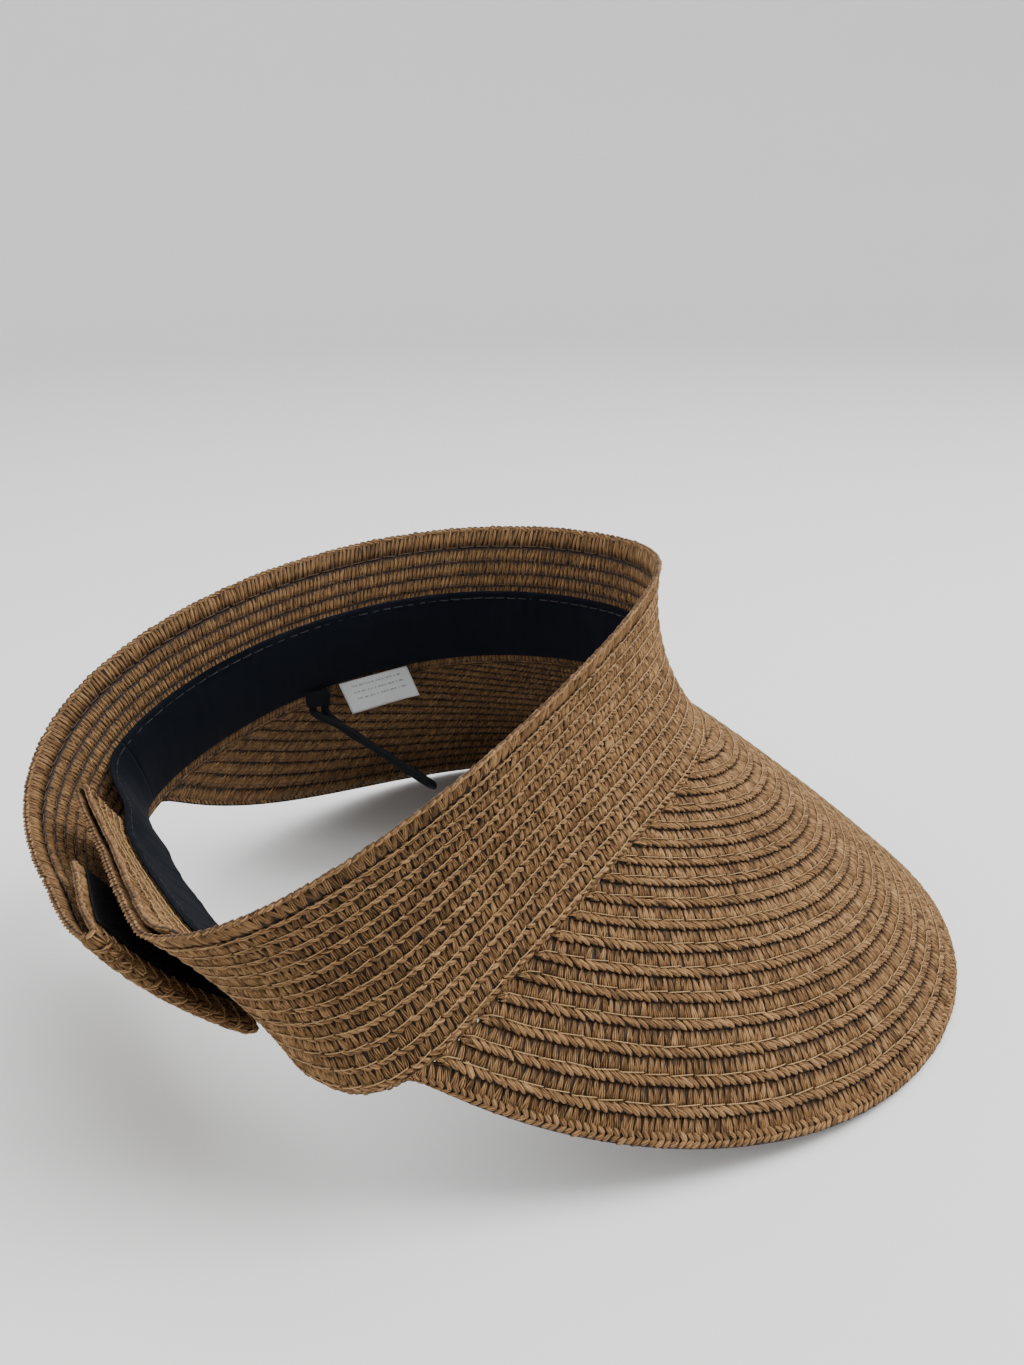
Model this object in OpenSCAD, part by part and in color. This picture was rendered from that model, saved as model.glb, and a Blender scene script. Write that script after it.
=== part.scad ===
// Braided paper-straw sun visor: an open crown band of sewn braid courses, a wide
// drooping bill, a cloth sweatband, and a touch-fastened overlap at the back.
// It stands on the flat outer edge of its bill. +Z is up, the bill points to -Y,
// and the origin is under the middle of the visor, on the surface it stands on.
// Angles round the crown are 0 at the front, 90 at the +X side, 180 at the back.

/* [Crown band] */
// Half of the rim's width, side to side
rim_half_w = 84.5; // [70:0.5:102]
// Half of the rim's length, front to back
rim_half_l = 108.5; // [90:0.5:131]
// Half of the width of the band's lower edge
foot_half_w = 97; // [80:0.5:117]
// Half of the length of the band's lower edge
foot_half_l = 92; // [76:0.5:111]
// Height of the band, rim to lower edge
band_h = 54; // [45:0.5:70]
// How far the band is drawn in halfway down its front and sides
band_waist = 6.4; // [0:0.1:9]
// Width of the wider hem course along the rim
hem_w = 7; // [4:0.1:9]
// How far the crown leans back when the visor stands on its bill
crown_tilt = 18; // [12:0.5:24]

/* [Bill] */
// Angle round the crown at which the bill ends, each side of the front
bill_end_angle = 118; // [100:1:125]
// Slope of the bill below the crown's own plane, at the front
bill_slope = 58.5; // [50:0.5:64]
// Extra slope of the bill at its sides
bill_side_slope = 11.8; // [4:0.2:16]
// Height of the crown's middle above the surface that the bill stands on
stand_h = 110.5; // [92:0.5:133]
// How sharply the bill's ends sweep up to the band
bill_sweep = 7.2; // [4:0.2:12]
// Outward bow of the bill's surface, halfway out
bill_bow = 1.5; // [0:0.1:4]

/* [Braid] */
// Thickness of the braid
braid_t = 2; // [1.6:0.1:2.4]
// Gap between the band's lower edge and the bill along their seam
seam_gap = 0.5; // [0.4:0.1:0.8]

/* [Sweatband] */
// Distance from the rim down to the sweatband
sweat_drop = 20.6; // [14:0.2:25]
// Width of the sweatband
sweat_w = 28.5; // [22:0.5:32]
// Thickness of the folded cloth
sweat_t = 1.2; // [0.8:0.1:1.6]
// Clearance between the cloth and the braid behind it
sweat_gap = 0.3; // [0.2:0.1:0.8]

/* [Back closure] */
// Angle at which the outer end of the band is folded under
outer_fold_angle = 200; // [194:1:206]
// Angle of the line about which the outer end peels open
peel_angle = 178; // [174:1:182]
// Thickness of each half of the touch fastener
pad_t = 0.8; // [0.5:0.1:1]
// Clearance between each half of the fastener and the braid that it is sewn to
pad_gap = 0.15; // [0.1:0.05:0.3]
// Share of the band's height that the fastener covers
pad_share = 0.86; // [0.6:0.02:0.9]
// Slit between the peeling end and the rest of the band
peel_gap = 0.5; // [0.3:0.1:1]
// How far the loose outer end stands out at the rim, along its fold
end_flare = 3; // [0:0.5:4]
// How far it bows out halfway down the fold
end_bow = 4; // [0:0.5:6]

/* [Care label] */
// Width of the care label
label_w = 26; // [16:1:34]
// Length of the care label below the sweatband
label_l = 13; // [8:1:20]
// Thickness of the folded satin
label_t = 0.5; // [0.4:0.1:0.8]
// Gap between the label and the sweatband's lower edge
label_gap = 0.6; // [0.5:0.1:1]
// Angle round the crown of the label's middle
label_angle = 61.5; // [50:0.5:68]

/* [Keeper loop] */
// Diameter of the round elastic
loop_d = 2.8; // [2:0.1:3.2]
// Width of the tape tab that holds the loop's ends
tab_w = 9; // [8:0.5:12]
// Length of the tab below the sweatband
tab_l = 5.2; // [4:0.1:7]
// Thickness of the tab
tab_t = 3.4; // [3.2:0.1:4.5]
// Clearance between the tab and the braid behind it
tab_gap = 0.9; // [0.6:0.1:1.2]
// Angle round the crown of the tab's middle
tab_angle = 72.5; // [71:0.5:80]

/* [Hidden] */
CROWN_COURSES = 12;
BILL_COURSES = 19;
function two_digits(i) = i < 10 ? str("0", i) : str(i);
CROWN_NODES = [for (i = [1:CROWN_COURSES]) str("crown_course_", two_digits(i))];
BILL_NODES = [for (i = [1:BILL_COURSES]) str("bill_course_", two_digits(i))];

STRAW = [0.55, 0.41, 0.27];
STRAW_DARK = [0.48, 0.35, 0.22];
NAVY = [0.05, 0.07, 0.11];
BLACK = [0.03, 0.03, 0.03];
SATIN = [0.86, 0.86, 0.84];

// Harmonics that turn the two ovals into a head shape: wider behind the ears,
// with a flatter back, and dipping at the front and back of the rim
RIM_EGG = [-10.5, -2.4];
RIM_LONG = [-4.9, 3.8];
RIM_DIP = [-8.8, -0.8];
FOOT_EGG = [-8, 5];
FOOT_LONG = [-16.5, 0.1];
FOOT_DIP = [-2.5, -6.3, -4.5];
FOOT_FORWARD = 2.4;
// The waist fades out towards the back between these two angles
WAIST_FADE = [128, 166];
half_t = braid_t / 2;
// The seam's gap is set for a braid 2 thick, and opens with a thicker one
seam = seam_gap + 0.9 * (half_t - 1);

// --- small vector helpers
function unit(v) = v / norm(v);
function blend(a, b, s) = a + (b - a) * s;
function sorted(v) = len(v) < 2 ? v : let (p = v[0])
    concat(sorted([for (x = v) if (x < p) x]), [p], sorted([for (x = v) if (x > p) x]));
function smooth(x) = let (s = min(1, max(0, x))) s * s * (3 - 2 * s);

// --- the crown, in its own upright frame
function outward(a) = [sin(a), -cos(a), 0];
function rim(a) = [
    rim_half_w * sin(a) + RIM_EGG[0] * sin(2 * a) + RIM_EGG[1] * sin(3 * a),
    -rim_half_l * cos(a) + RIM_LONG[0] * cos(2 * a) + RIM_LONG[1] * cos(3 * a),
    RIM_DIP[0] * cos(2 * a) + RIM_DIP[1] * cos(3 * a)];
function foot(a) = [
    foot_half_w * sin(a) + FOOT_EGG[0] * sin(2 * a) + FOOT_EGG[1] * sin(3 * a),
    FOOT_FORWARD - foot_half_l * cos(a) + FOOT_LONG[0] * cos(2 * a) + FOOT_LONG[1] * cos(3 * a),
    -band_h + FOOT_DIP[0] * cos(a) + FOOT_DIP[1] * cos(2 * a) + FOOT_DIP[2] * cos(3 * a)];
function from_front(a) = abs(a > 180 ? a - 360 : a < -180 ? a + 360 : a);
function waist(a) = band_waist
    * (1 - smooth((from_front(a) - WAIST_FADE[0]) / (WAIST_FADE[1] - WAIST_FADE[0])));
// A point of the band: angle a, share v of the height down from the rim, and a depth inwards
function crown(a, v, depth = 0) = blend(rim(a), foot(a), v)
    - outward(a) * (4 * v * (1 - v) * waist(a) + depth);

// --- from the crown's frame to the standing frame
tilt_c = cos(crown_tilt);
tilt_s = sin(crown_tilt);
function lean(d) = [d.x, d.y * tilt_c + d.z * tilt_s, -d.y * tilt_s + d.z * tilt_c];
function raw_seat(p) = lean(p) + [0, 0, stand_h];

// --- the bill, ruled from the band's lower edge out to the standing edge
BILL_FAN = 0.19;
BILL_SLOPE_WAVE = -6.3;
BILL_SWEEP_POWER = 1.6;
EDGE_STEPS = 26;
function foot_normal(a) = let (d = foot(a + 1) - foot(a - 1)) unit([d.y, -d.x, 0]);
function slope(a) = bill_slope + bill_side_slope * (1 - cos(a)) + BILL_SLOPE_WAVE * (1 - cos(2 * a));
function ray(a) =
    let (n = foot_normal(a), f = unit(n * (1 - BILL_FAN) + [0, -BILL_FAN, 0]))
    lean([f.x * cos(slope(a)), f.y * cos(slope(a)), -sin(slope(a))]);
function sweep(a) = pow(max(0, 1 - pow(abs(a) / bill_end_angle, bill_sweep)), BILL_SWEEP_POWER);
function reach(a) = raw_seat(foot(a)).z / max(0.3, -ray(a).z) * sweep(a);
function raw_edge(a) = raw_seat(foot(a)) + ray(a) * reach(a);
// Across the braid: square to the ruling and to the run of the courses
function bill_normal(a) =
    let (run = raw_edge(a + 0.5) + raw_seat(foot(a + 0.5)) - raw_edge(a - 0.5) - raw_seat(foot(a - 0.5)))
    unit(cross(run, -ray(a)));
EDGE_ANGLES = [for (i = [-EDGE_STEPS:EDGE_STEPS]) i * bill_end_angle / EDGE_STEPS];
FLAT_ANGLES = [for (a = EDGE_ANGLES) if (abs(a) < 50) a];
RAW_EDGE = [for (a = EDGE_ANGLES) raw_edge(a)];
// Centre the visor over the origin, with the lip of its edge on the surface
lip = max([for (a = FLAT_ANGLES) half_t * abs(bill_normal(a).z)]);
front_y = raw_edge(0).y - half_t * abs(bill_normal(0).y);
back_y = raw_seat(rim(180)).y + half_t;
function seat(p) = raw_seat(p) + [0, -(front_y + back_y) / 2, lip];
EDGE = [for (p = RAW_EDGE) p + [0, -(front_y + back_y) / 2, lip]];
// Distance from a point of the seam to the nearest point of the outer edge
function nearest(p) = min([for (q = EDGE) norm(q - p)]);
DEPTH = [for (a = EDGE_ANGLES) [a, abs(a) == bill_end_angle ? 0 : nearest(seat(foot(a)))]];
function depth(a) = lookup(a, DEPTH);
ANGLE_AT = [for (row = DEPTH) if (row[0] >= 0) [-row[1], row[0]]];
function angle_at(d) = lookup(-d, ANGLE_AT);
bill_pitch = (depth(0) - seam) / BILL_COURSES;
// Width left at the tip of a course where the seam cuts it off
TIP_W = 0.5;
// A point of the bill: angle a, distance d in from the outer edge, and side +1 above, -1 below
function bill(a, d, side) =
    let (all = max(depth(a), 0.1), w = 1 - min(d, all - seam) / all, n = bill_normal(a))
    seat(foot(a)) + ray(a) * (reach(a) * w) + n * (4 * w * (1 - w) * bill_bow + side * half_t);

// --- closed solids from two facing grids of points
function flat(rows) = [for (r = rows) for (p = r) p];
function grid_faces(n, m) =
    let (b = n * m, quad = function (p, q, r, s) [[p, q, r], [p, r, s]])
    [
        for (i = [0:n - 2]) for (j = [0:m - 2]) let (k = i * m + j)
            each concat(quad(k, k + m, k + m + 1, k + 1), quad(b + k, b + k + 1, b + k + m + 1, b + k + m)),
        for (i = [0:n - 2]) let (k = i * m, e = k + m - 1)
            each concat(quad(k, b + k, b + k + m, k + m), quad(e, e + m, b + e + m, b + e)),
        for (j = [0:m - 2]) let (e = (n - 1) * m + j)
            each concat(quad(j, j + 1, b + j + 1, b + j), quad(e, b + e, b + e + 1, e + 1))
    ];
module shell(upper, lower) {
    polyhedron(concat(flat(upper), flat(lower)), grid_faces(len(upper), len(upper[0])));
}

// --- strips of the band: a path is a list of [angle, depth at the rim, depth at the foot]
// and, for the loose outer end, an outward bow
function leaned_depth(p, v) =
    p[2] + (p[1] - p[2]) * (1 - v) * (1 - v) - (len(p) > 3 ? 4 * v * (1 - v) * p[3] : 0);
function strip_point(p, v) = crown(p[0], v, leaned_depth(p, v));
function strip_normal(path, i, v) =
    let (d = strip_point(path[min(i + 1, len(path) - 1)], v) - strip_point(path[max(i - 1, 0)], v))
    unit([d.y, -d.x, 0]);
function strip_side(path, rows, offset) = [for (i = [0:len(path) - 1]) [for (v = rows)
    seat(strip_point(path[i], v) + strip_normal(path, i, v) * offset)]];
module strip(path, rows, outer, inner) {
    shell(strip_side(path, rows, outer), strip_side(path, rows, inner));
}
function steps(from, to, n) = [for (i = [0:n]) from + (to - from) * i / n];
function on_band(from, to, n) = [for (a = steps(from, to, n)) [a, 0, 0]];
function course_v(i) = i == 0 ? 0 : (hem_w + (i - 1) * (band_h - hem_w) / (CROWN_COURSES - 1)) / band_h;

// --- the overlapping ends: depths of each layer, from hand-set stations at [angle, rim, foot].
// They are set for a braid 2 thick, and grow with it; the near end also clears the fastener.
NEAR_START = -133;
NEAR_TIP = -205;
NEAR_OUTER = [[-205, 16, 8.2], [-192, 17, 8.4], [-180, 16.4, 8.4], [-170, 14, 8.6], [-160, 10.4, 8.4],
    [-153, 6.4, 5.4], [-146, 1.6, 1.4], [-133, 0, 0]];
NEAR_INNER = [[-205, 18.8, 10.8], [-192, 19.8, 11], [-180, 19.2, 11], [-170, 16.9, 11.2], [-160, 13.4, 11],
    [-153, 9.4, 8.2], [-146, 4.8, 4.4], [-141, 3.6, 3.6]];
FAR_ARM = [[-188, 9, 4], [-180, 7.8, 3.8], [-170, 5.6, 3.6], [-162, 3.6, 3.4]];
FAR_BEND = [[1.1, 1.1], [1, 2.3]];
// Thickness of the closed fastener and its clearances that the stations are set for
SET_PADS = 1.9;
pads_more = 2 * (pad_t + pad_gap) - SET_PADS;
function set_depth(list, a, k) = half_t * lookup(a, [for (s = list) [s[0], s[k]]]);
function station(list, a) = [a, set_depth(list, a, 1), set_depth(list, a, 2)];
function near_station(list, a) =
    station(list, a) + [0, 1, 1] * (pads_more * smooth((NEAR_START - a) / 22));
function layer(list, from, to, n) = [for (a = steps(from, to, n)) station(list, a)];
function near_layer(list, from, to, n) = [for (a = steps(from, to, n)) near_station(list, a)];
tip_turn = (near_station(NEAR_OUTER, NEAR_TIP) + near_station(NEAR_INNER, NEAR_TIP)) / 2 - [1, 0, 0];
near_path = concat(near_layer(NEAR_OUTER, NEAR_START, NEAR_TIP, 20), [tip_turn],
    near_layer(NEAR_INNER, NEAR_TIP, NEAR_INNER[7][0], 18));
fold = outer_fold_angle - 360;
// The outer end is loose beyond the peel line, and stands out most at its fold
function loose(a) = smooth((a + 360 - peel_angle) / (outer_fold_angle - peel_angle));
function flared(path) = [for (p = path) let (k = loose(p[0]))
    [p[0], p[1] - end_flare * k, p[2] - end_flare * k / 3, end_bow * k]];
far_path = flared(concat(on_band(peel_angle - 360, fold, 8),
    [for (b = FAR_BEND) [fold + b[0], b[1] * half_t, b[1] * half_t]],
    layer(FAR_ARM, fold - 2, peel_angle - 360, 7)));
ROWS = steps(0, 1, 6);
PAD_ROWS = steps((1 - pad_share) / 2, (1 + pad_share) / 2, 5);
hook_path = flared(layer(FAR_ARM, fold - 4, peel_angle - 360 + 1, 6));
loop_path = near_layer(NEAR_OUTER, fold - 1, peel_angle - 360 + 1, 6);

// --- the sweatband lies on the braid, and inside the near end's folded layers at the back
sweat_rows = steps(sweat_drop / band_h, (sweat_drop + sweat_w) / band_h, 3);
sweat_depth = half_t + sweat_gap + sweat_t / 2;
function sweat_station(a) =
    let (s = near_station(NEAR_INNER, a < NEAR_TIP ? NEAR_TIP : a))
    let (f = smooth((a + 236) / 28) * smooth((-124 - a) / 14))
    [a, sweat_depth + f * (s[1] + sweat_gap), sweat_depth + f * (s[2] + sweat_gap)];
sweat_path = [for (a = steps(-238, 122, 72)) sweat_station(a)];

// --- the care label hangs from the sweatband's lower edge
sweat_foot_v = sweat_rows[3];
function hang_point(a) = seat(crown(a, sweat_foot_v, sweat_depth));
label_mid = hang_point(label_angle);
label_run = unit(hang_point(label_angle + 4) - hang_point(label_angle - 4));
label_down = unit([0, 0, -1] + label_run * label_run.z);
label_in = cross(label_run, label_down);

// --- the keeper loop's tab is sewn to the sweatband's lower edge and hangs straight down
tab_mid = hang_point(tab_angle);
tab_run = unit([hang_point(tab_angle + 4).x - hang_point(tab_angle - 4).x,
    hang_point(tab_angle + 4).y - hang_point(tab_angle - 4).y, 0]);
tab_in = cross(tab_run, [0, 0, -1]);
TAB_TUCK = 0.6;
// The elastic's hand-set route: down one strand, round the free end and back up the other
LOOP_ROUTE = [[79.7, 38.7, 71], [79.6, 38.5, 68.4], [77.9, 36.7, 66.5], [74.9, 33.9, 64.9],
    [70.7, 28.4, 61.2], [65.4, 23.1, 56.2], [59.7, 17.8, 51.5], [55.2, 13.9, 48.2], [51, 9.8, 44.7],
    [50.3, 6.7, 41.8], [52.5, 4.5, 39.1], [56.4, 4.2, 38.4], [59.8, 6.2, 39.9], [62.8, 10.8, 44.1],
    [65.3, 15.4, 48.5], [69.2, 21.5, 54.2], [73.5, 27.6, 59.4], [76.3, 30.9, 63.3], [78, 33.2, 66],
    [78.3, 34.4, 68.4], [78.3, 34.5, 71]];
// Square to the flat of the loop
LOOP_FACE = [-0.25, 0.75, -0.61];
LOOP_SIDES = 8;
// A smooth curve through the route's points, with n rings to each stretch
function curve_at(p, i, u) =
    let (m = len(p) - 1, a = p[max(i - 1, 0)], b = p[i], c = p[min(i + 1, m)], d = p[min(i + 2, m)])
    b + 0.5 * ((c - a) * u + (2 * a - 5 * b + 4 * c - d) * u * u + (3 * b - a - 3 * c + d) * u * u * u);
function curve_through(p, n) = concat([for (i = [0:len(p) - 2]) for (k = [0:n - 1]) curve_at(p, i, k / n)],
    [p[len(p) - 1]]);
function tube_rings(p, r) = [for (i = [0:len(p) - 1])
    let (t = unit(p[min(i + 1, len(p) - 1)] - p[max(i - 1, 0)]))
    let (e = unit(cross(t, LOOP_FACE)), f = cross(t, e))
    [for (k = [0:LOOP_SIDES - 1]) let (q = 360 * k / LOOP_SIDES) p[i] + e * (r * cos(q)) + f * (r * sin(q))]];
function tube_faces(n) = concat(
    [for (i = [0:n - 2]) for (k = [0:LOOP_SIDES - 1])
        let (a = i * LOOP_SIDES, k2 = (k + 1) % LOOP_SIDES)
        each [[a + k, a + LOOP_SIDES + k, a + LOOP_SIDES + k2], [a + k, a + LOOP_SIDES + k2, a + k2]]],
    [for (k = [1:LOOP_SIDES - 2]) [0, k, k + 1]],
    [for (k = [1:LOOP_SIDES - 2]) let (z = (n - 1) * LOOP_SIDES) [z, z + k + 1, z + k]]);

module crown_course(i) {
    color(i % 2 == 1 ? STRAW : STRAW_DARK)
        strip(on_band(NEAR_START, peel_angle - peel_gap, 62), [course_v(i - 1), course_v(i)],
            half_t, -half_t);
}

module bill_course(i) {
    outer_d = (i - 1) * bill_pitch;
    inner_d = i * bill_pitch;
    end = angle_at(outer_d + seam + TIP_W);
    cut = angle_at(inner_d + seam + TIP_W);
    between = [for (a = EDGE_ANGLES) if (abs(a) < end && abs(abs(a) - cut) > 0.2) a];
    kept = concat([-end, -cut], between, [cut, end]);
    angles = sorted(kept);
    color(i % 2 == 1 ? STRAW : STRAW_DARK)
        shell([for (a = angles) [bill(a, inner_d, 1), bill(a, outer_d, 1)]],
            [for (a = angles) [bill(a, inner_d, -1), bill(a, outer_d, -1)]]);
}

module near_end_fold() {
    color(STRAW) strip(near_path, ROWS, half_t, -half_t);
}

module far_end_fold() {
    color(STRAW_DARK) strip(far_path, ROWS, half_t, -half_t);
}

module hook_pad() {
    color(BLACK) strip(hook_path, PAD_ROWS, half_t + pad_gap + pad_t, half_t + pad_gap);
}

module loop_pad() {
    color(BLACK) strip(loop_path, PAD_ROWS, -half_t - pad_gap, -half_t - pad_gap - pad_t);
}

module sweatband() {
    color(NAVY) strip(sweat_path, sweat_rows, sweat_t / 2, -sweat_t / 2);
}

module care_label() {
    corner = label_mid + label_down * label_gap - label_run * (label_w / 2) - label_in * (label_t / 2);
    frame = [label_run, label_down, label_in];
    place = [for (r = [0:2]) [frame[0][r], frame[1][r], frame[2][r], corner[r]]];
    color(SATIN) multmatrix(place) cube([label_w, label_l, label_t]);
}

module keeper_tab() {
    corner = tab_mid + tab_in * (half_t + tab_t / 2 - sweat_depth + tab_gap)
        - tab_run * (tab_w / 2) - tab_in * (tab_t / 2) + [0, 0, TAB_TUCK];
    place = [[tab_run.x, 0, tab_in.x, corner.x], [tab_run.y, 0, tab_in.y, corner.y], [0, -1, 0, corner.z]];
    color(BLACK) multmatrix(place) cube([tab_w, tab_l + TAB_TUCK, tab_t]);
}

module keeper_loop() {
    path = curve_through(LOOP_ROUTE, 2);
    color(BLACK) polyhedron(flat(tube_rings(path, loop_d / 2)), tube_faces(len(path)));
}

for (i = [1:CROWN_COURSES])
    crown_course(i);
for (i = [1:BILL_COURSES])
    bill_course(i);
near_end_fold();
far_end_fold();
hook_pad();
loop_pad();
sweatband();
care_label();
keeper_tab();
keeper_loop();
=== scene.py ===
"""Braided paper-straw sun visor: braid courses, sewing thread, cloth sweatband and fittings.

Lengths inside the visor's own form are in millimetres, as in its CAD source, and become metres
when a mesh is made. Angles run round the crown: 0 at the front, 90 at the +X side, 180 at the back.
"""
import logging
import math
from dataclasses import dataclass
from enum import Enum
from typing import Callable, Optional, Sequence

import bpy
import numpy as np
from mathutils import Matrix, Vector


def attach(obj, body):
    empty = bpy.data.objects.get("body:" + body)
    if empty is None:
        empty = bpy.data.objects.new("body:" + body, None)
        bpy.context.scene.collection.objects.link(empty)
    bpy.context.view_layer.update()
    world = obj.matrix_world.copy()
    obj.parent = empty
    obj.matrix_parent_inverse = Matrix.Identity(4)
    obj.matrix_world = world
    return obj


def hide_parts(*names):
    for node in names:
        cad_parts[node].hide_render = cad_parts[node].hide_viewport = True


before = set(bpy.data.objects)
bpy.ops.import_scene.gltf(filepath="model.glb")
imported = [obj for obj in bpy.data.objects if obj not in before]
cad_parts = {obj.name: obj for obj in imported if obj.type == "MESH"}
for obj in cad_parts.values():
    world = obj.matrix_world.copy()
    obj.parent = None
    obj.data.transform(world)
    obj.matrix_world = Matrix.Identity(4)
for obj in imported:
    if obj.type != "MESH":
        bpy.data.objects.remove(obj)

LOG = logging.getLogger("visor")
MM = 0.001
Array = np.ndarray
Colour = tuple[float, float, float]


class Body(Enum):
    """The moving bodies of the visor."""

    VISOR = "visor"
    PEELING_END = "peeling_end"
    LABEL = "label"


class Slot(Enum):
    """The material slots of the visor."""

    STRAW = "straw_braid"
    HOOK = "fastener_hook"
    LOOP = "fastener_loop"
    CLOTH = "sweat_cloth"
    SATIN = "label_satin"
    TAPE = "tab_tape"
    ELASTIC = "elastic"


def sine(angle: Array) -> Array:
    """Sine of an angle in degrees."""
    return np.sin(np.radians(angle))


def cosine(angle: Array) -> Array:
    """Cosine of an angle in degrees."""
    return np.cos(np.radians(angle))


def unit(v: Array) -> Array:
    """The vectors of v, each brought to length 1."""
    return v / np.linalg.norm(v, axis=-1, keepdims=True)


def smooth(x: Array) -> Array:
    """An S-shaped step from 0 to 1."""
    s = np.clip(x, 0.0, 1.0)
    return s * s * (3 - 2 * s)


def stack(x: Array, y: Array, z: Array) -> Array:
    """Three arrays of coordinates as one array of points."""
    return np.stack(np.broadcast_arrays(x, y, z), axis=-1)


def between(x: Array, places: Array, table: Array) -> Array:
    """The table's rows, interpolated column by column to the places x."""
    return np.stack([np.interp(x, places, table[:, k]) for k in range(table.shape[1])], axis=-1)


def run_along(line: Array) -> Array:
    """Length along a line of points, up to each of them."""
    steps = np.linalg.norm(np.diff(line, axis=0), axis=1)
    return np.concatenate([[0.0], np.cumsum(steps)])


def flat_grid(s: Array, t: Array) -> Array:
    """Fibre coordinates of a flat grid, with s along its rows and t along its columns."""
    return stack(s + 0 * t, t + 0 * s, 0 * (s + t))


@dataclass(frozen=True)
class VisorForm:
    """The driving dimensions of the visor and the surfaces that they give."""

    rim_half_w: float = 84.5
    rim_half_l: float = 108.5
    foot_half_w: float = 97.0
    foot_half_l: float = 92.0
    band_h: float = 54.0
    band_waist: float = 6.4
    hem_w: float = 7.0
    crown_tilt: float = 18.0
    bill_end_angle: float = 118.0
    bill_slope: float = 58.5
    bill_side_slope: float = 11.8
    stand_h: float = 110.5
    bill_sweep: float = 7.2
    bill_bow: float = 1.5
    half_t: float = 1.0
    seam_gap: float = 0.5
    crown_courses: int = 12
    bill_courses: int = 19
    bill_fan: float = 0.19
    bill_slope_wave: float = -6.3
    sweep_power: float = 1.6

    def rim(self, a: Array) -> Array:
        """Points of the band's upper edge at angles a."""
        return stack(
            self.rim_half_w * sine(a) - 10.5 * sine(2 * a) - 2.4 * sine(3 * a),
            -self.rim_half_l * cosine(a) - 4.9 * cosine(2 * a) + 3.8 * cosine(3 * a),
            -8.8 * cosine(2 * a) - 0.8 * cosine(3 * a))

    def foot(self, a: Array) -> Array:
        """Points of the band's lower edge at angles a."""
        return stack(
            self.foot_half_w * sine(a) - 8 * sine(2 * a) + 5 * sine(3 * a),
            2.4 - self.foot_half_l * cosine(a) - 16.5 * cosine(2 * a) + 0.1 * cosine(3 * a),
            -self.band_h - 2.5 * cosine(a) - 6.3 * cosine(2 * a) - 4.5 * cosine(3 * a))

    def waist(self, a: Array) -> Array:
        """How far the band is drawn in at angles a."""
        front = np.abs((a + 180) % 360 - 180)
        return self.band_waist * (1 - smooth((front - 128) / 38))

    def crown(self, a: Array, v: Array, depth: Array) -> Array:
        """Points of the band.

        Args:
            a: Angles round the crown.
            v: Share of the height, 0 at the rim and 1 at the lower edge.
            depth: Distance inwards from the band's middle surface.

        Returns:
            Points in the crown's own upright frame.
        """
        a, v, depth = np.broadcast_arrays(a, v, depth)
        inwards = 4 * v * (1 - v) * self.waist(a) + depth
        return (self.rim(a) * (1 - v)[..., None] + self.foot(a) * v[..., None]
                - stack(sine(a), -cosine(a), 0 * a) * inwards[..., None])

    def lean(self, p: Array) -> Array:
        """Vectors of the crown's frame, turned into the standing frame."""
        c, s = cosine(self.crown_tilt), sine(self.crown_tilt)
        return stack(p[..., 0], p[..., 1] * c + p[..., 2] * s, -p[..., 1] * s + p[..., 2] * c)

    def seat(self, p: Array) -> Array:
        """Points of the crown's frame, placed as the visor stands."""
        return self.lean(p) + self.shift

    def ray(self, a: Array) -> Array:
        """The direction in which the bill runs out from the band at angles a."""
        d = self.foot(a + 1) - self.foot(a - 1)
        n = unit(stack(d[..., 1], -d[..., 0], 0 * a)) * (1 - self.bill_fan)
        f = unit(n + np.array([0, -self.bill_fan, 0]))
        slope = (self.bill_slope + self.bill_side_slope * (1 - cosine(a))
                 + self.bill_slope_wave * (1 - cosine(2 * a)))
        return self.lean(stack(f[..., 0] * cosine(slope), f[..., 1] * cosine(slope), -sine(slope)))

    def reach(self, a: Array) -> Array:
        """Length of the bill along its ray at angles a."""
        height = self.lean(self.foot(a))[..., 2] + self.stand_h
        share = np.maximum(0, 1 - (np.abs(a) / self.bill_end_angle) ** self.bill_sweep)
        return height / np.maximum(0.3, -self.ray(a)[..., 2]) * share ** self.sweep_power

    def raw_edge(self, a: Array) -> Array:
        """Points of the bill's outer edge before the visor is centred."""
        up = np.array([0, 0, self.stand_h])
        return self.lean(self.foot(a)) + up + self.ray(a) * self.reach(a)[..., None]

    def bill_normal(self, a: Array) -> Array:
        """The direction square to the bill at angles a."""
        run = (self.raw_edge(a + 0.5) + self.lean(self.foot(a + 0.5))
               - self.raw_edge(a - 0.5) - self.lean(self.foot(a - 0.5)))
        return unit(np.cross(run, -self.ray(a)))

    @property
    def shift(self) -> Array:
        """The step that stands the leaned visor on its edge, over the origin."""
        flat = np.linspace(-45, 45, 19)
        lip = np.abs(self.bill_normal(flat)[:, 2]).max() * self.half_t
        zero, back = np.array([0.0]), np.array([180.0])
        front_y = self.raw_edge(zero)[0, 1] - self.half_t * abs(self.bill_normal(zero)[0, 1])
        back_y = self.lean(self.rim(back))[0, 1] + self.half_t
        return np.array([0, -(front_y + back_y) / 2, self.stand_h + lip])

    def course_v(self, i: int) -> float:
        """Share of the band's height at the lower edge of crown course i."""
        if i == 0:
            return 0.0
        rest = (self.band_h - self.hem_w) / (self.crown_courses - 1)
        return (self.hem_w + (i - 1) * rest) / self.band_h


FORM = VisorForm()


def leaned(stations: Array, v: Array) -> Array:
    """Depth of a layer at share v of the height, from its stations' depths and outward bow."""
    depth = stations[..., 2] + (stations[..., 1] - stations[..., 2]) * (1 - v) ** 2
    return depth - 4 * v * (1 - v) * stations[..., 3]


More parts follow.
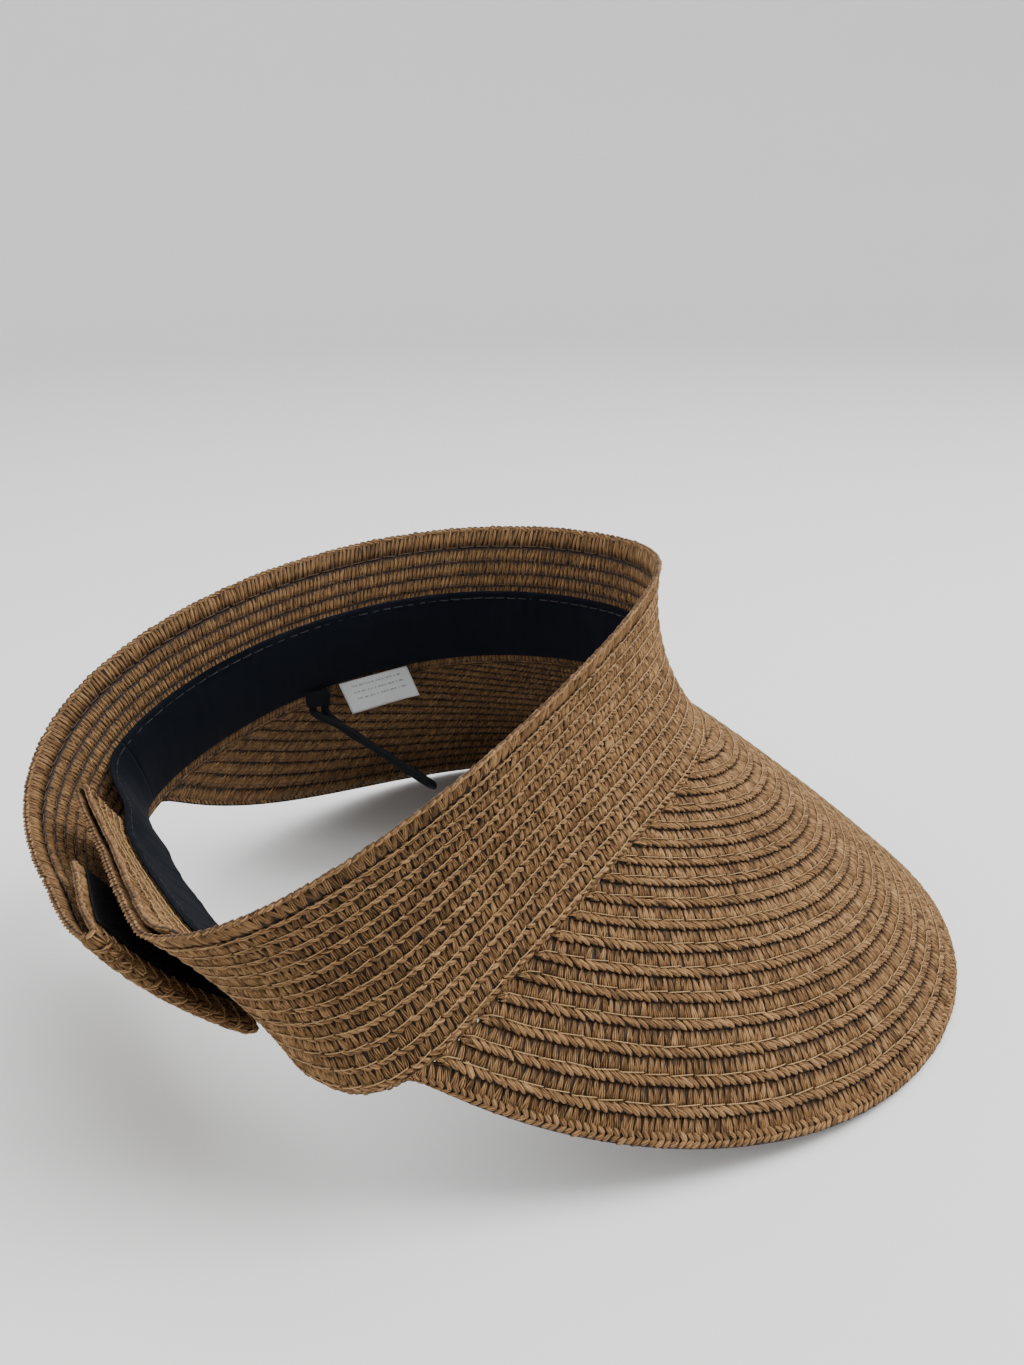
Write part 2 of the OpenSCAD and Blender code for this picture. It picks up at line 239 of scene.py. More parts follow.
class Track:
    """A strip of surface on which one braid course is laid.

    A place on it is s along the course, t up from its lower or outer edge, and h out of it.
    """

    length: float
    width: float

    def place(self, s: Array, t: Array, h: Array) -> Array:
        """Points in space for places on the track."""
        raise NotImplementedError


class BandTrack(Track):
    """A course of the crown band, or of one of its folded ends."""

    def __init__(self, stations: Array, top: float, foot: float) -> None:
        """Sets out the course.

        Args:
            stations: Rows of [angle, depth at the rim, depth at the foot, outward bow].
            top: Share of the band's height at the course's upper edge.
            foot: The same at its lower edge.
        """
        bow = np.zeros((len(stations), 4 - stations.shape[1]))
        stations = np.concatenate([stations, bow], axis=1)
        self.stations, self.top, self.foot = stations, top, foot
        v = (top + foot) / 2
        line = FORM.crown(stations[:, 0], v, leaned(stations, v))
        self.run = run_along(line)
        self.length = float(self.run[-1])
        self.width = (foot - top) * FORM.band_h
        d = np.gradient(line, self.run, axis=0)
        self.normal = unit(stack(d[:, 1], -d[:, 0], 0 * d[:, 0]))

    def place(self, s: Array, t: Array, h: Array) -> Array:
        """Points in space for places on the track."""
        station = between(s, self.run, self.stations)
        v = self.foot + (self.top - self.foot) * t / self.width
        n = unit(between(s, self.run, self.normal))
        return FORM.seat(FORM.crown(station[..., 0], v, leaned(station, v)) + n * h[..., None])


class BillPlan:
    """The bill's surface, tabulated round the crown."""

    def __init__(self) -> None:
        """Tabulates the bill's rays, normals and depths."""
        end = FORM.bill_end_angle
        edge_angles = np.linspace(-end, end, 53)
        shift = FORM.shift
        edge = FORM.raw_edge(edge_angles) + np.array([0, shift[1], shift[2] - FORM.stand_h])
        feet = FORM.seat(FORM.foot(edge_angles))
        gaps = np.linalg.norm(feet[:, None] - edge[None], axis=2).min(axis=1)
        gaps[[0, -1]] = 0.0
        self.edge_angles, self.edge_depths = edge_angles, gaps
        self.angles = np.linspace(-end, end, 945)
        self.feet = FORM.seat(FORM.foot(self.angles))
        self.rays = FORM.ray(self.angles) * FORM.reach(self.angles)[:, None]
        self.normals = FORM.bill_normal(self.angles)
        self.depths = np.maximum(np.interp(self.angles, edge_angles, gaps), 0.1)
        self.pitch = (gaps[len(gaps) // 2] - FORM.seam_gap) / FORM.bill_courses

    def point(self, a: Array, d: Array, h: Array) -> Array:
        """Points of the bill at angles a, at distance d in from its outer edge and height h."""
        foot, ray, normal = (between(a, self.angles, table)
                             for table in (self.feet, self.rays, self.normals))
        whole = np.interp(a, self.angles, self.depths)
        w = 1 - np.minimum(d, whole - FORM.seam_gap) / whole
        lift = 4 * w * (1 - w) * FORM.bill_bow + h
        return foot + ray * w[..., None] + unit(normal) * lift[..., None]

    def angle_at(self, d: float) -> float:
        """The angle at which the bill is d wide."""
        half = len(self.edge_angles) // 2
        return float(np.interp(-d, -self.edge_depths[half:], self.edge_angles[half:]))


class BillTrack(Track):
    """A course of the bill, sewn parallel to its outer edge."""

    places: int = 401
    middle_share: float = 0.4
    tip_reserve: float = 0.6

    def __init__(self, plan: BillPlan, i: int) -> None:
        """Sets out course i of the bill, counted from the outer edge."""
        self.plan, self.width, self.outer = plan, plan.pitch, (i - 1) * plan.pitch
        end = plan.angle_at(self.outer + FORM.seam_gap + self.tip_reserve)
        self.angles = np.linspace(-end, end, self.places)
        self.middle = plan.pitch * self.middle_share
        level, step = 0 * self.angles, 0.5
        line, further = (plan.point(self.angles, level + self.outer + self.middle + extra, level)
                         for extra in (0.0, step))
        self.run = run_along(line)
        self.length = float(self.run[-1])
        along = unit(np.gradient(line, self.run, axis=0))
        self.skew = -(along * (further - line) / step).sum(axis=1)

    def place(self, s: Array, t: Array, h: Array) -> Array:
        """Points in space for places on the track, with t square to the course."""
        straight = s + np.interp(s, self.run, self.skew) * (t - self.middle)
        return self.plan.point(np.interp(straight, self.run, self.angles), self.outer + t, h)


# --- modelling and copying of strands


def began(name: str, primitive: Callable, **settings: object) -> bpy.types.Object:
    """Adds a mesh primitive under a name and opens it for editing, all selected."""
    bpy.ops.object.select_all(action="DESELECT")
    primitive(**settings)
    obj = bpy.context.object
    obj.name = name
    bpy.ops.object.mode_set(mode="EDIT")
    bpy.ops.mesh.select_all(action="SELECT")
    return obj


def scaled_by(value: Sequence[float], centre: Sequence[float] = (0, 0, 0)) -> None:
    """Scales what is selected about a centre."""
    bpy.ops.transform.resize(value=value, center_override=centre)


def pick(obj: bpy.types.Object, keep: Callable[[Vector], bool]) -> None:
    """Selects the vertices of obj for which keep is true, with their edges and faces."""
    bpy.ops.object.mode_set(mode="OBJECT")
    for vertex in obj.data.vertices:
        vertex.select = bool(keep(vertex.co))
    for edge in obj.data.edges:
        edge.select = all(obj.data.vertices[k].select for k in edge.vertices)
    for face in obj.data.polygons:
        face.select = all(obj.data.vertices[k].select for k in face.vertices)
    bpy.ops.object.mode_set(mode="EDIT")


@dataclass
class StrandShape:
    """One modelled strand: x across it, y along it, z through it, in millimetres."""

    points: Array
    loops: Array
    totals: Array

    @classmethod
    def drawn(cls, name: str, sides: int, rings: Sequence[Sequence[float]]) -> "StrandShape":
        """Draws a strand out of a ring, ring by ring.

        Args:
            name: Name of the object while it is modelled.
            sides: Number of points round the strand.
            rings: Rows of [place along, width, thickness, lift, place across], tip to tip.

        Returns:
            The strand, ready to be copied.
        """
        obj = began(name, bpy.ops.mesh.primitive_circle_add, vertices=sides, radius=0.5,
                    fill_type="NGON")
        bpy.ops.mesh.select_mode(type="VERT")
        rows = [(*ring, 0.0)[:5] for ring in rings]
        along, width, thick, lift, across = rows[0]
        scaled_by((width, thick, 1))
        bpy.ops.transform.translate(value=(across, lift, along))
        for now, new in zip(rows, rows[1:]):
            step = (new[4] - now[4], new[3] - now[3], new[0] - now[0])
            bpy.ops.mesh.extrude_region_move(TRANSFORM_OT_translate={"value": step})
            grow = (new[1] / now[1], new[2] / now[2], 1)
            scaled_by(grow, (new[4], new[3], new[0]))
        bpy.ops.mesh.select_all(action="SELECT")
        bpy.ops.mesh.normals_make_consistent(inside=False)
        bpy.ops.object.mode_set(mode="OBJECT")
        mesh = obj.data
        co = np.zeros(len(mesh.vertices) * 3)
        mesh.vertices.foreach_get("co", co)
        points = co.reshape(-1, 3)[:, [0, 2, 1]] * np.array([-1, 1, 1])
        loops = np.zeros(len(mesh.loops), np.int64)
        mesh.loops.foreach_get("vertex_index", loops)
        totals = np.zeros(len(mesh.polygons), np.int64)
        mesh.polygons.foreach_get("loop_total", totals)
        bpy.data.objects.remove(obj)
        return cls(points, loops, totals)

    @classmethod
    def bundle(cls, name: str, parts: Sequence["StrandShape"]) -> "StrandShape":
        """Several strands as one."""
        LOG.info("%s of %d strands", name, len(parts))
        shift = np.cumsum([0] + [len(part.points) for part in parts])
        loops = np.concatenate([part.loops + k for part, k in zip(parts, shift)])
        return cls(np.concatenate([part.points for part in parts]), loops,
                   np.concatenate([part.totals for part in parts]))


@dataclass
class Laid:
    """Copies of one strand: where each lies on its track, how it is turned and how large it is."""

    shape: StrandShape
    s: Array
    t: Array
    h: Array
    turn: Array
    size: Array
    slope: Array
    tone: Array
    material: int = 0

    def on(self, track: Track, seeds: Array) -> tuple[Array, Array, Array]:
        """Bends the copies onto a track.

        Args:
            track: The strip of surface that carries them.
            seeds: One random number for each copy.

        Returns:
            Points in millimetres, their fibre coordinates, and their tone, relief and nearness to
            the strand's side or tip, from which the straw's painted shade is made.
        """
        local = self.shape.points[None] * self.size[:, None]
        c, n = cosine(self.turn)[:, None], sine(self.turn)[:, None]
        x, y, z = local[..., 0], local[..., 1], local[..., 2]
        s = self.s[:, None] + y * c + x * n
        t = self.t[:, None] + y * n - x * c
        h = self.h[:, None] + z + y * self.slope[:, None]
        space = track.place(np.clip(s, -0.6, track.length + 0.6), t, h)
        fibre = stack(x, y, seeds[:, None] * 97)
        # nearness to the strand's side or tip, which the straw finish darkens as painted shade
        # where strands tuck under each other
        edge = np.maximum(2 * np.abs(self.shape.points[:, 0]),
                          3 * np.abs(self.shape.points[:, 1]) - 0.6)[None]
        look = stack(self.tone[:, None] + 0 * x, h, edge + 0 * x)
        return space.reshape(-1, 3), fibre.reshape(-1, 3), look.reshape(-1, 3)


class MeshHeap:
    """Gathers copied strands and shells into the mesh of one piece."""

    def __init__(self) -> None:
        """Starts an empty heap."""
        self.points: list[Array] = []
        self.fibre: list[Array] = []
        self.look: list[Array] = []
        self.loops: list[Array] = []
        self.totals: list[Array] = []
        self.material: list[Array] = []
        self.count = 0

    def add(self, points: Array, loops: Array, totals: Array, material: int = 0,
            fibre: Optional[Array] = None, look: Optional[Array] = None) -> None:
        """Adds points and faces, with their fibre coordinates and look where they have them."""
        blank = np.zeros_like(points)
        self.points.append(points)
        self.fibre.append(blank if fibre is None else fibre)
        self.look.append(blank if look is None else look)
        self.loops.append(loops + self.count)
        self.totals.append(totals)
        self.material.append(np.full(len(totals), material))
        self.count += len(points)

    def lay(self, laid: Laid, track: Track, rng: np.random.Generator) -> None:
        """Adds the copies of a strand, bent onto a track."""
        number = len(laid.s)
        if number == 0:
            return
        points, fibre, look = laid.on(track, rng.random(number))
        shape = laid.shape
        loops = shape.loops[None] + np.arange(number)[:, None] * len(shape.points)
        self.add(points, loops.ravel(), np.tile(shape.totals, number), laid.material, fibre, look)

    def shell(self, outer: Array, inner: Array, fibre: Array, material: int = 0) -> None:
        """Adds a closed shell between two facing grids of points.

        Args:
            outer: Grid of points on the side that the faces look out of, rows by columns.
            inner: The grid behind it.
            fibre: Fibre coordinates of the outer grid, used for both.
            material: Number of the finish in the piece's list.
        """
        n, m = outer.shape[:2]
        k = np.arange(n * m).reshape(n, m)
        a, b, c, d = k[:-1, :-1], k[1:, :-1], k[1:, 1:], k[:-1, 1:]
        quads = [np.stack([a, b, c, d], -1), np.stack([a, d, c, b], -1) + n * m]
        for edge, turned in ((k[:, 0], True), (k[:, -1], False), (k[0], False), (k[-1], True)):
            p, q = edge[:-1], edge[1:]
            side = [p, q, q + n * m, p + n * m]
            quads.append(np.stack(side[::-1] if turned else side, -1))
        faces = np.concatenate([q.reshape(-1, 4) for q in quads])
        points = np.concatenate([outer.reshape(-1, 3), inner.reshape(-1, 3)])
        both = np.concatenate([fibre.reshape(-1, 3)] * 2)
        self.add(points, faces.ravel(), np.full(len(faces), 4), material, both)

    def piece(self, name: str, finishes: Sequence[bpy.types.Material]) -> bpy.types.Object:
        """Makes the heap one object.

        Args:
            name: Name of the piece.
            finishes: Its materials, in the order of their numbers.

        Returns:
            The piece, at the origin, in metres.
        """
        mesh = bpy.data.meshes.new(name)
        points = np.concatenate(self.points) * MM
        loops, totals = np.concatenate(self.loops), np.concatenate(self.totals)
        mesh.vertices.add(len(points))
        mesh.vertices.foreach_set("co", points.ravel())
        mesh.loops.add(len(loops))
        mesh.loops.foreach_set("vertex_index", loops.astype(np.int32))
        mesh.polygons.add(len(totals))
        starts = np.concatenate([[0], np.cumsum(totals)[:-1]])
        mesh.polygons.foreach_set("loop_start", starts.astype(np.int32))
        mesh.polygons.foreach_set("loop_total", totals.astype(np.int32))
        mesh.polygons.foreach_set("material_index", np.concatenate(self.material).astype(np.int32))
        mesh.polygons.foreach_set("use_smooth", np.ones(len(totals), bool))
        for label, values in (("fibre", self.fibre), ("look", self.look)):
            mesh.attributes.new(label, "FLOAT_VECTOR", "POINT").data.foreach_set(
                "vector", np.concatenate(values).astype(np.float32).ravel())
        mesh.update()
        mesh.validate()
        for finish in finishes:
            mesh.materials.append(finish)
        obj = bpy.data.objects.new(name, mesh)
        bpy.context.scene.collection.objects.link(obj)
        return obj


# --- shading


class Value:
    """A number socket that can be used in an expression; each operator adds a Math node."""

    def __init__(self, tree: "Shader", socket: bpy.types.NodeSocket) -> None:
        """Wraps a socket of a shader."""
        self.tree, self.socket = tree, socket

    def _with(self, kind: str, *others: object) -> "Value":
        """Adds a Math node of the given kind on this value and the others."""
        return Value(self.tree, self.tree.node(
            "ShaderNodeMath", {"operation": kind}, dict(enumerate((self, *others)))).outputs[0])

    def __add__(self, other: object) -> "Value":
        """This value plus another."""
        return self._with("ADD", other)

    def __mul__(self, other: object) -> "Value":
        """This value times another."""
        return self._with("MULTIPLY", other)

    def __sub__(self, other: object) -> "Value":
        """This value less another."""
        return self._with("SUBTRACT", other)

    def __rsub__(self, other: object) -> "Value":
        """Another value less this one."""
        return (self * -1) + other

    def __pow__(self, other: object) -> "Value":
        """This value to the power of another."""
        return self._with("POWER", other)

    __radd__, __rmul__ = __add__, __mul__

    def size(self) -> "Value":
        """This value without its sign."""
        return self._with("ABSOLUTE")

    def wave(self) -> "Value":
        """The sine of this value, brought to 0 to 1."""
        return self._with("SINE") * 0.5 + 0.5

    def over(self, low: float, high: float) -> "Value":
        """This value, as a smooth step from 0 at low to 1 at high."""
        return Value(self.tree, self.tree.node(
            "ShaderNodeMapRange", {"interpolation_type": "SMOOTHSTEP"},
            {"Value": self, "From Min": low, "From Max": high}).outputs[0])


class Shader:
    """A node material in the making."""

    def __init__(self, name: str) -> None:
        """Starts a material with a Principled shader."""
        self.material = bpy.data.materials.new(name)
        self.material.use_nodes = True
        self.nodes, self.links = self.material.node_tree.nodes, self.material.node_tree.links
        self.bsdf = self.nodes["Principled BSDF"]

    def node(self, kind: str, settings: Optional[dict] = None,
             inputs: Optional[dict] = None) -> bpy.types.Node:
        """Adds a node.

        Args:
            kind: The node's type.
            settings: Its own properties, with "stops" for a ramp's [place, colour] rows.
            inputs: Values or links for its sockets, by name or number.

        Returns:
            The node.
        """
        node = self.nodes.new(kind)
        for key, value in (settings or {}).items():
            if key == "stops":
                ramp = node.color_ramp
                while len(ramp.elements) < len(value):
                    ramp.elements.new(0.5)
                for element, (place, colour) in zip(ramp.elements, value):
                    element.position, element.color = place, (*colour, 1)
            else:
                setattr(node, key, value)
        for key, value in (inputs or {}).items():
            self.feed(node.inputs[key], value)
        return node

    def feed(self, socket: bpy.types.NodeSocket, value: object) -> None:
        """Links or sets one socket."""
        if isinstance(value, Value):
            self.links.new(value.socket, socket)
        elif isinstance(value, bpy.types.NodeSocket):
            self.links.new(value, socket)
        else:
            socket.default_value = value

    def split(self, socket: bpy.types.NodeSocket) -> list[Value]:
        """The three numbers of a vector."""
        parts = self.node("ShaderNodeSeparateXYZ", None, {0: socket})
        return [Value(self, out) for out in parts.outputs]

    def attribute(self, name: str) -> bpy.types.NodeSocket:
        """A vector attribute of the piece."""
        return self.node("ShaderNodeAttribute", {"attribute_name": name}).outputs["Vector"]

    def scaled(self, socket: bpy.types.NodeSocket, size: tuple) -> bpy.types.NodeSocket:
        """A vector, each part multiplied by its own number."""
        return self.node("ShaderNodeVectorMath", {"operation": "MULTIPLY"},
                         {0: socket, 1: size}).outputs[0]

    def noise(self, socket: bpy.types.NodeSocket, scale: float, detail: float = 3) -> Value:
        """A soft noise pattern, about 0 to 1."""
        return Value(self, self.node("ShaderNodeTexNoise", None, {
            "Vector": socket, "Scale": scale, "Detail": detail}).outputs["Fac"])

    def ramp(self, value: Value, stops: Sequence) -> bpy.types.NodeSocket:
        """A colour for each value."""
        return self.node("ShaderNodeValToRGB", {"stops": stops}, {0: value}).outputs[0]

    def mix(self, share: Value, a: object, b: object) -> bpy.types.NodeSocket:
        """Colour a, turned into colour b by a share; a colour is a link or three numbers."""
        a, b = ((*c, 1) if isinstance(c, tuple) else c for c in (a, b))
        return self.node("ShaderNodeMix", {"data_type": "RGBA", "blend_type": "MIX"}, {
            0: share, 6: a, 7: b}).outputs[2]

    def bump(self, height: Value, strength: float, distance: float) -> None:
        """Feeds a relief to the surface."""
        node = self.node("ShaderNodeBump", None, {
            "Height": height, "Strength": strength, "Distance": distance})
        self.feed(self.bsdf.inputs["Normal"], node.outputs[0])

    def surface(self, **sockets: object) -> bpy.types.Material:
        """Feeds the Principled shader's sockets, with _ for a space, and returns the material."""
        for key, value in sockets.items():
            self.feed(self.bsdf.inputs[key.replace("_", " ")], value)
        return self.material


@dataclass(frozen=True)
class StrawFinish:
    """Twisted paper straw: fine strands, with painted shade where they lie low in the braid and
    near their sides and tips.
    """

    name: str
    # darkest straw colour: the low end of the random tone and also the painted shade
    dark_tone_and_shade: Colour = (0.016, 0.009, 0.006)
    mid: Colour = (0.165, 0.085, 0.032)
    light: Colour = (0.50, 0.300, 0.138)

    def make(self) -> bpy.types.Material:
        """Builds the material."""
        sh = Shader(self.name)
        fibre = sh.attribute("fibre")
        tone, relief, edge = sh.split(sh.attribute("look"))
        x, y, seed = sh.split(fibre)
        strand = sh.noise(sh.scaled(fibre, (3.4, 0.4, 1.0)), 1.0, 4)
        patch = sh.noise(sh.node("ShaderNodeTexCoord").outputs["Object"], 45, 2)
        crack = sh.noise(sh.scaled(fibre, (7.0, 0.5, 1.0)), 1.0, 1)
        lines = (x * 10.5 + strand * 5 + seed).wave()
        share = tone * 0.45 + strand * 0.66 + patch * 0.26 + lines * 0.28 - 0.38
        colour = sh.ramp(share, [(0.0, self.dark_tone_and_shade), (0.36, self.mid), (0.92, self.light)])
        # painted shade: the straw turns to its darkest colour where a strand lies low near the
        # braid's middle, towards its sides and tips, and along fine cracks
        painted_lit_share = (relief.size().over(-0.15, 0.6) * (1 - edge.over(0.66, 1.1) * 0.72)
               * crack.over(0.24, 0.46) ** 0.6)
        colour = sh.mix(painted_lit_share, self.dark_tone_and_shade, colour)
        sh.bump(strand * 0.5 + lines * 0.6 + crack * 0.6, 0.7, 0.0002)
        return sh.surface(Base_Color=colour, Roughness=0.66 + strand * 0.25,
                          Specular_IOR_Level=0.25)


@dataclass(frozen=True)
class PaintedShadeCoreFinish:
    """The straw far inside the braid, in crosswise strands, coloured near black as painted shade.
    """

    name: str
    # near-black colours that stand in for the shade inside the braid: painted shade
    dark: Colour = (0.006, 0.004, 0.005)
    light: Colour = (0.040, 0.023, 0.014)

    def make(self) -> bpy.types.Material:
        """Builds the material."""
        sh = Shader(self.name)
        fibre = sh.attribute("fibre")
        strand = sh.noise(sh.scaled(fibre, (2.6, 0.4, 1.0)), 1.0, 4)
        colour = sh.mix(strand.over(0.35, 0.7), self.dark, self.light)
        sh.bump(strand, 0.5, 0.0003)
        return sh.surface(Base_Color=colour, Roughness=0.8 + strand * 0.1)


@dataclass(frozen=True)
class ThreadFinish:
    """A fine twisted sewing thread with a slight shine."""

    name: str
    colour: Colour
    dark: Colour
    twist: float = 9.0

    def make(self) -> bpy.types.Material:
        """Builds the material."""
        sh = Shader(self.name)
        fibre = sh.attribute("fibre")
        x, y, _ = sh.split(fibre)
        ply = (y * self.twist + x * 14).wave()
        soft = sh.noise(sh.scaled(fibre, (3.0, 0.4, 1.0)), 1.0)
        colour = sh.mix(ply * 0.5 + soft * 0.5, self.dark, self.colour)
        sh.bump(ply, 0.4, 0.00006)
        return sh.surface(Base_Color=colour, Roughness=0.42 + soft * 0.2)


@dataclass(frozen=True)
class ClothFinish:
    """A dark cloth in a fine twill, with lint and a soft sheen."""

    name: str
    low: Colour
    high: Colour
    lint: Colour = (0.10, 0.10, 0.11)
    weave: float = 13.0
    sheen: float = 0.02
    rough: float = 0.85

    def make(self) -> bpy.types.Material:
        """Builds the material."""
        sh = Shader(self.name)
        fibre = sh.attribute("fibre")
        x, y, _ = sh.split(fibre)
        twill = ((x + y) * self.weave).wave()
        weft = (y * self.weave * 2.1).wave()
        cloudy = sh.noise(sh.scaled(fibre, (0.12, 0.12, 1.0)), 1.0, 4)
        flecks = sh.noise(sh.scaled(fibre, (1.4, 2.2, 1.0)), 1.0, 5).over(0.66, 0.74)
        share = twill * 0.35 + weft * 0.15 + cloudy * 0.5
        colour = sh.mix(share, self.low, self.high)
        colour = sh.mix(flecks * 0.10, colour, self.lint)
        sh.bump(twill * 0.6 + weft * 0.4, 0.35, 0.00012)
        return sh.surface(Base_Color=colour, Roughness=self.rough + cloudy * 0.1,
                          Sheen_Weight=self.sheen, Sheen_Roughness=0.4, Specular_IOR_Level=0.12)


@dataclass(frozen=True)
class SatinFinish:
    """White label satin with faint rows of plain dashes."""

    name: str
    white: Colour = (0.56, 0.57, 0.58)
    shade: Colour = (0.47, 0.48, 0.49)
    print_grey: Colour = (0.18, 0.19, 0.20)

    def make(self) -> bpy.types.Material:
        """Builds the material."""
        sh = Shader(self.name)
        fibre = sh.attribute("fibre")
        x, y, _ = sh.split(fibre)
        ribs = (x * 26).wave()
        rows = (y * 2.45 + 1.2).wave().over(0.80, 0.92)
        dashes = sh.noise(sh.scaled(fibre, (1.6, 0.02, 1.0)), 1.0, 2).over(0.47, 0.52)
        inside = (x.over(-10.5, -9.5) * (1 - x.over(8.5, 9.5))
                  * y.over(1.5, 2.5) * (1 - y.over(9, 10)))
        cloudy = sh.noise(sh.scaled(fibre, (0.3, 0.3, 1.0)), 1.0)
        base = sh.mix(cloudy * 0.5, self.white, self.shade)
        colour = sh.mix(rows * dashes * inside * 0.85, base, self.print_grey)
        sh.bump(ribs, 0.2, 0.00005)
        return sh.surface(Base_Color=colour, Roughness=0.45 + cloudy * 0.15,
                          Sheen_Weight=0.15)


@dataclass(frozen=True)
class ElasticFinish:
    """A round braided elastic: small crossing ribs over a core."""

    name: str
    low: Colour = (0.0016, 0.0019, 0.0028)
    high: Colour = (0.0070, 0.0085, 0.0115)

    def make(self) -> bpy.types.Material:
        """Builds the material."""
        sh = Shader(self.name)
        fibre = sh.attribute("fibre")
        x, y, _ = sh.split(fibre)
        braid = (y * 6.5 + x * 8).wave() * (y * 6.5 - x * 8).wave()
        fuzz = sh.noise(sh.scaled(fibre, (2.0, 2.0, 1.0)), 1.0, 5)
        colour = sh.mix(braid * 0.7 + fuzz * 0.3, self.low, self.high)
        sh.bump(braid + fuzz * 0.4, 0.6, 0.00015)
        return sh.surface(Base_Color=colour, Roughness=0.7 + fuzz * 0.2, Specular_IOR_Level=0.15)


# --- weaving the courses


@dataclass(frozen=True)
class StrandSet:
    """The few strands that the whole braid repeats, modelled once."""

    tongue: StrandShape
    hem: StrandShape
    lobe: StrandShape
    stitch: StrandShape
    rib: StrandShape

    @classmethod
    def modelled(cls) -> "StrandSet":
        """Models the five strands."""
        tongue = StrandShape.bundle("tongue", [
            StrandShape.drawn("filament", 4, [
                (-0.5, 0.28, 0.5, -0.12, 0.30 * side), (-0.2, 0.38, 0.95, lift, 0.34 * side),
                (0.14, 0.30, 0.95, lift, 0.22 * side + bow), (0.5, 0.2, 0.4, -0.1, 0.08 * side)])
            for side, lift, bow in ((-1.0, -0.06, 0.02), (0.05, 0.05, 0.05), (1.05, -0.04, -0.02))])
        hem = StrandShape.bundle("hem_strand", [
            StrandShape.drawn("filament", 4, [
                (-0.5, 0.28, 0.5, -0.10, 0.34 * side), (-0.2, 0.38, 0.95, lift, 0.34 * side),
                (0.2, 0.38, 0.95, lift, 0.34 * side), (0.5, 0.28, 0.5, -0.1, 0.3 * side)])
            for side, lift in ((-1.0, -0.04), (0.0, 0.05), (1.0, -0.04))])
        lobe = StrandShape.drawn("lobe", 5, [
            (-0.5, 0.38, 0.4, -0.2), (-0.26, 0.86, 0.92, 0.02), (0.06, 0.98, 1.02, 0.08),
            (0.32, 0.8, 0.86, 0.0), (0.5, 0.34, 0.36, -0.22)])
        stitch = StrandShape.drawn("stitch", 4, [
            (-0.5, 0.9, 0.9, -1.5), (-0.43, 1.0, 1.0, -0.1), (0.0, 1.0, 1.0, 0.2),
            (0.43, 1.0, 1.0, -0.1), (0.5, 0.9, 0.9, -1.5)])
        rib = StrandShape.drawn("rib", 5, [
            (-0.5, 0.7, 0.6, 0.15), (0.0, 1.08, 1.0, -0.05), (0.5, 0.65, 0.6, 0.15)])
        return cls(tongue, hem, lobe, stitch, rib)


@dataclass(frozen=True)
class Row:
    """One row of like strands along a course.

    Sizes are the pitch along the course, the place across it, and the strand's width, length and
    thickness; turn is its direction, 0 along the course and 90 across it.
    """

    kind: str
    pitch: float
    t: float
    h: float
    turn: float
    width: float
    long: float
    thick: float
    slope: float = 0.0
    jitter: float = 1.0
    group: int = 1
    gap: float = 0.0
    fan: float = 0.0
    material: int = 0
    light: float = 0.5

    def laid(self, strands: StrandSet, length: float, rng: np.random.Generator) -> Laid:
        """Lays the row on a course of the given length."""
        number = max(1, int(round(length / self.pitch)))
        step = length / number
        k = np.arange(number)
        wild = self.jitter

        def shake(spread: float) -> Array:
            """Random shifts of about the given size."""
            return rng.normal(0, spread * wild, number).clip(-2.2 * spread, 2.2 * spread)

        grouped = (k % self.group - (self.group - 1) / 2) * -self.gap if self.group > 1 else 0 * k
        size = np.stack([self.width * (1 + shake(0.10)), self.long * (1 + shake(0.05)),
                         self.thick * (1 + shake(0.06))], axis=-1)
        return Laid(
            getattr(strands, self.kind), (k + 0.5) * step + grouped + shake(0.06 * self.pitch),
            self.t + shake(0.10), self.h + shake(0.07),
            self.turn + self.fan * (k % 2 * 2 - 1) + shake(6.0), size,
            self.slope + shake(0.02), self.light + shake(0.17), self.material)


@dataclass(frozen=True)
class Weave:
    """The rows that make up one course of braid."""

    rows: tuple[Row, ...]
    core: tuple[tuple[float, float], ...] = ((-0.1, -0.4), (0.6, -0.1), (2.4, -0.1), (6.9, -0.62))
    core_half: float = 0.17

    def fill(self, heap: MeshHeap, track: Track) -> None:
        """Lays the inner strands that close the braid between its two sides, dark with painted
        shade.
        """
        s = np.linspace(-0.3, track.length + 0.3, max(4, int(track.length / 3.2)))[:, None]
        t, h = (np.array(self.core)[:, k][None] for k in (0, 1))
        outer, inner = (track.place(s + 0 * t, t + 0 * s, h + side + 0 * s)
                        for side in (self.core_half, -self.core_half))
        # material 2 is the inner straw, coloured near black as painted shade
        heap.shell(outer, inner, flat_grid(s, t), 2)

    def into(self, heap: MeshHeap, track: Track, strands: StrandSet,
             rng: np.random.Generator) -> None:
        """Weaves a course along a track."""
        self.fill(heap, track)
        for row in self.rows:
            heap.lay(row.laid(strands, track.length, rng), track, rng)


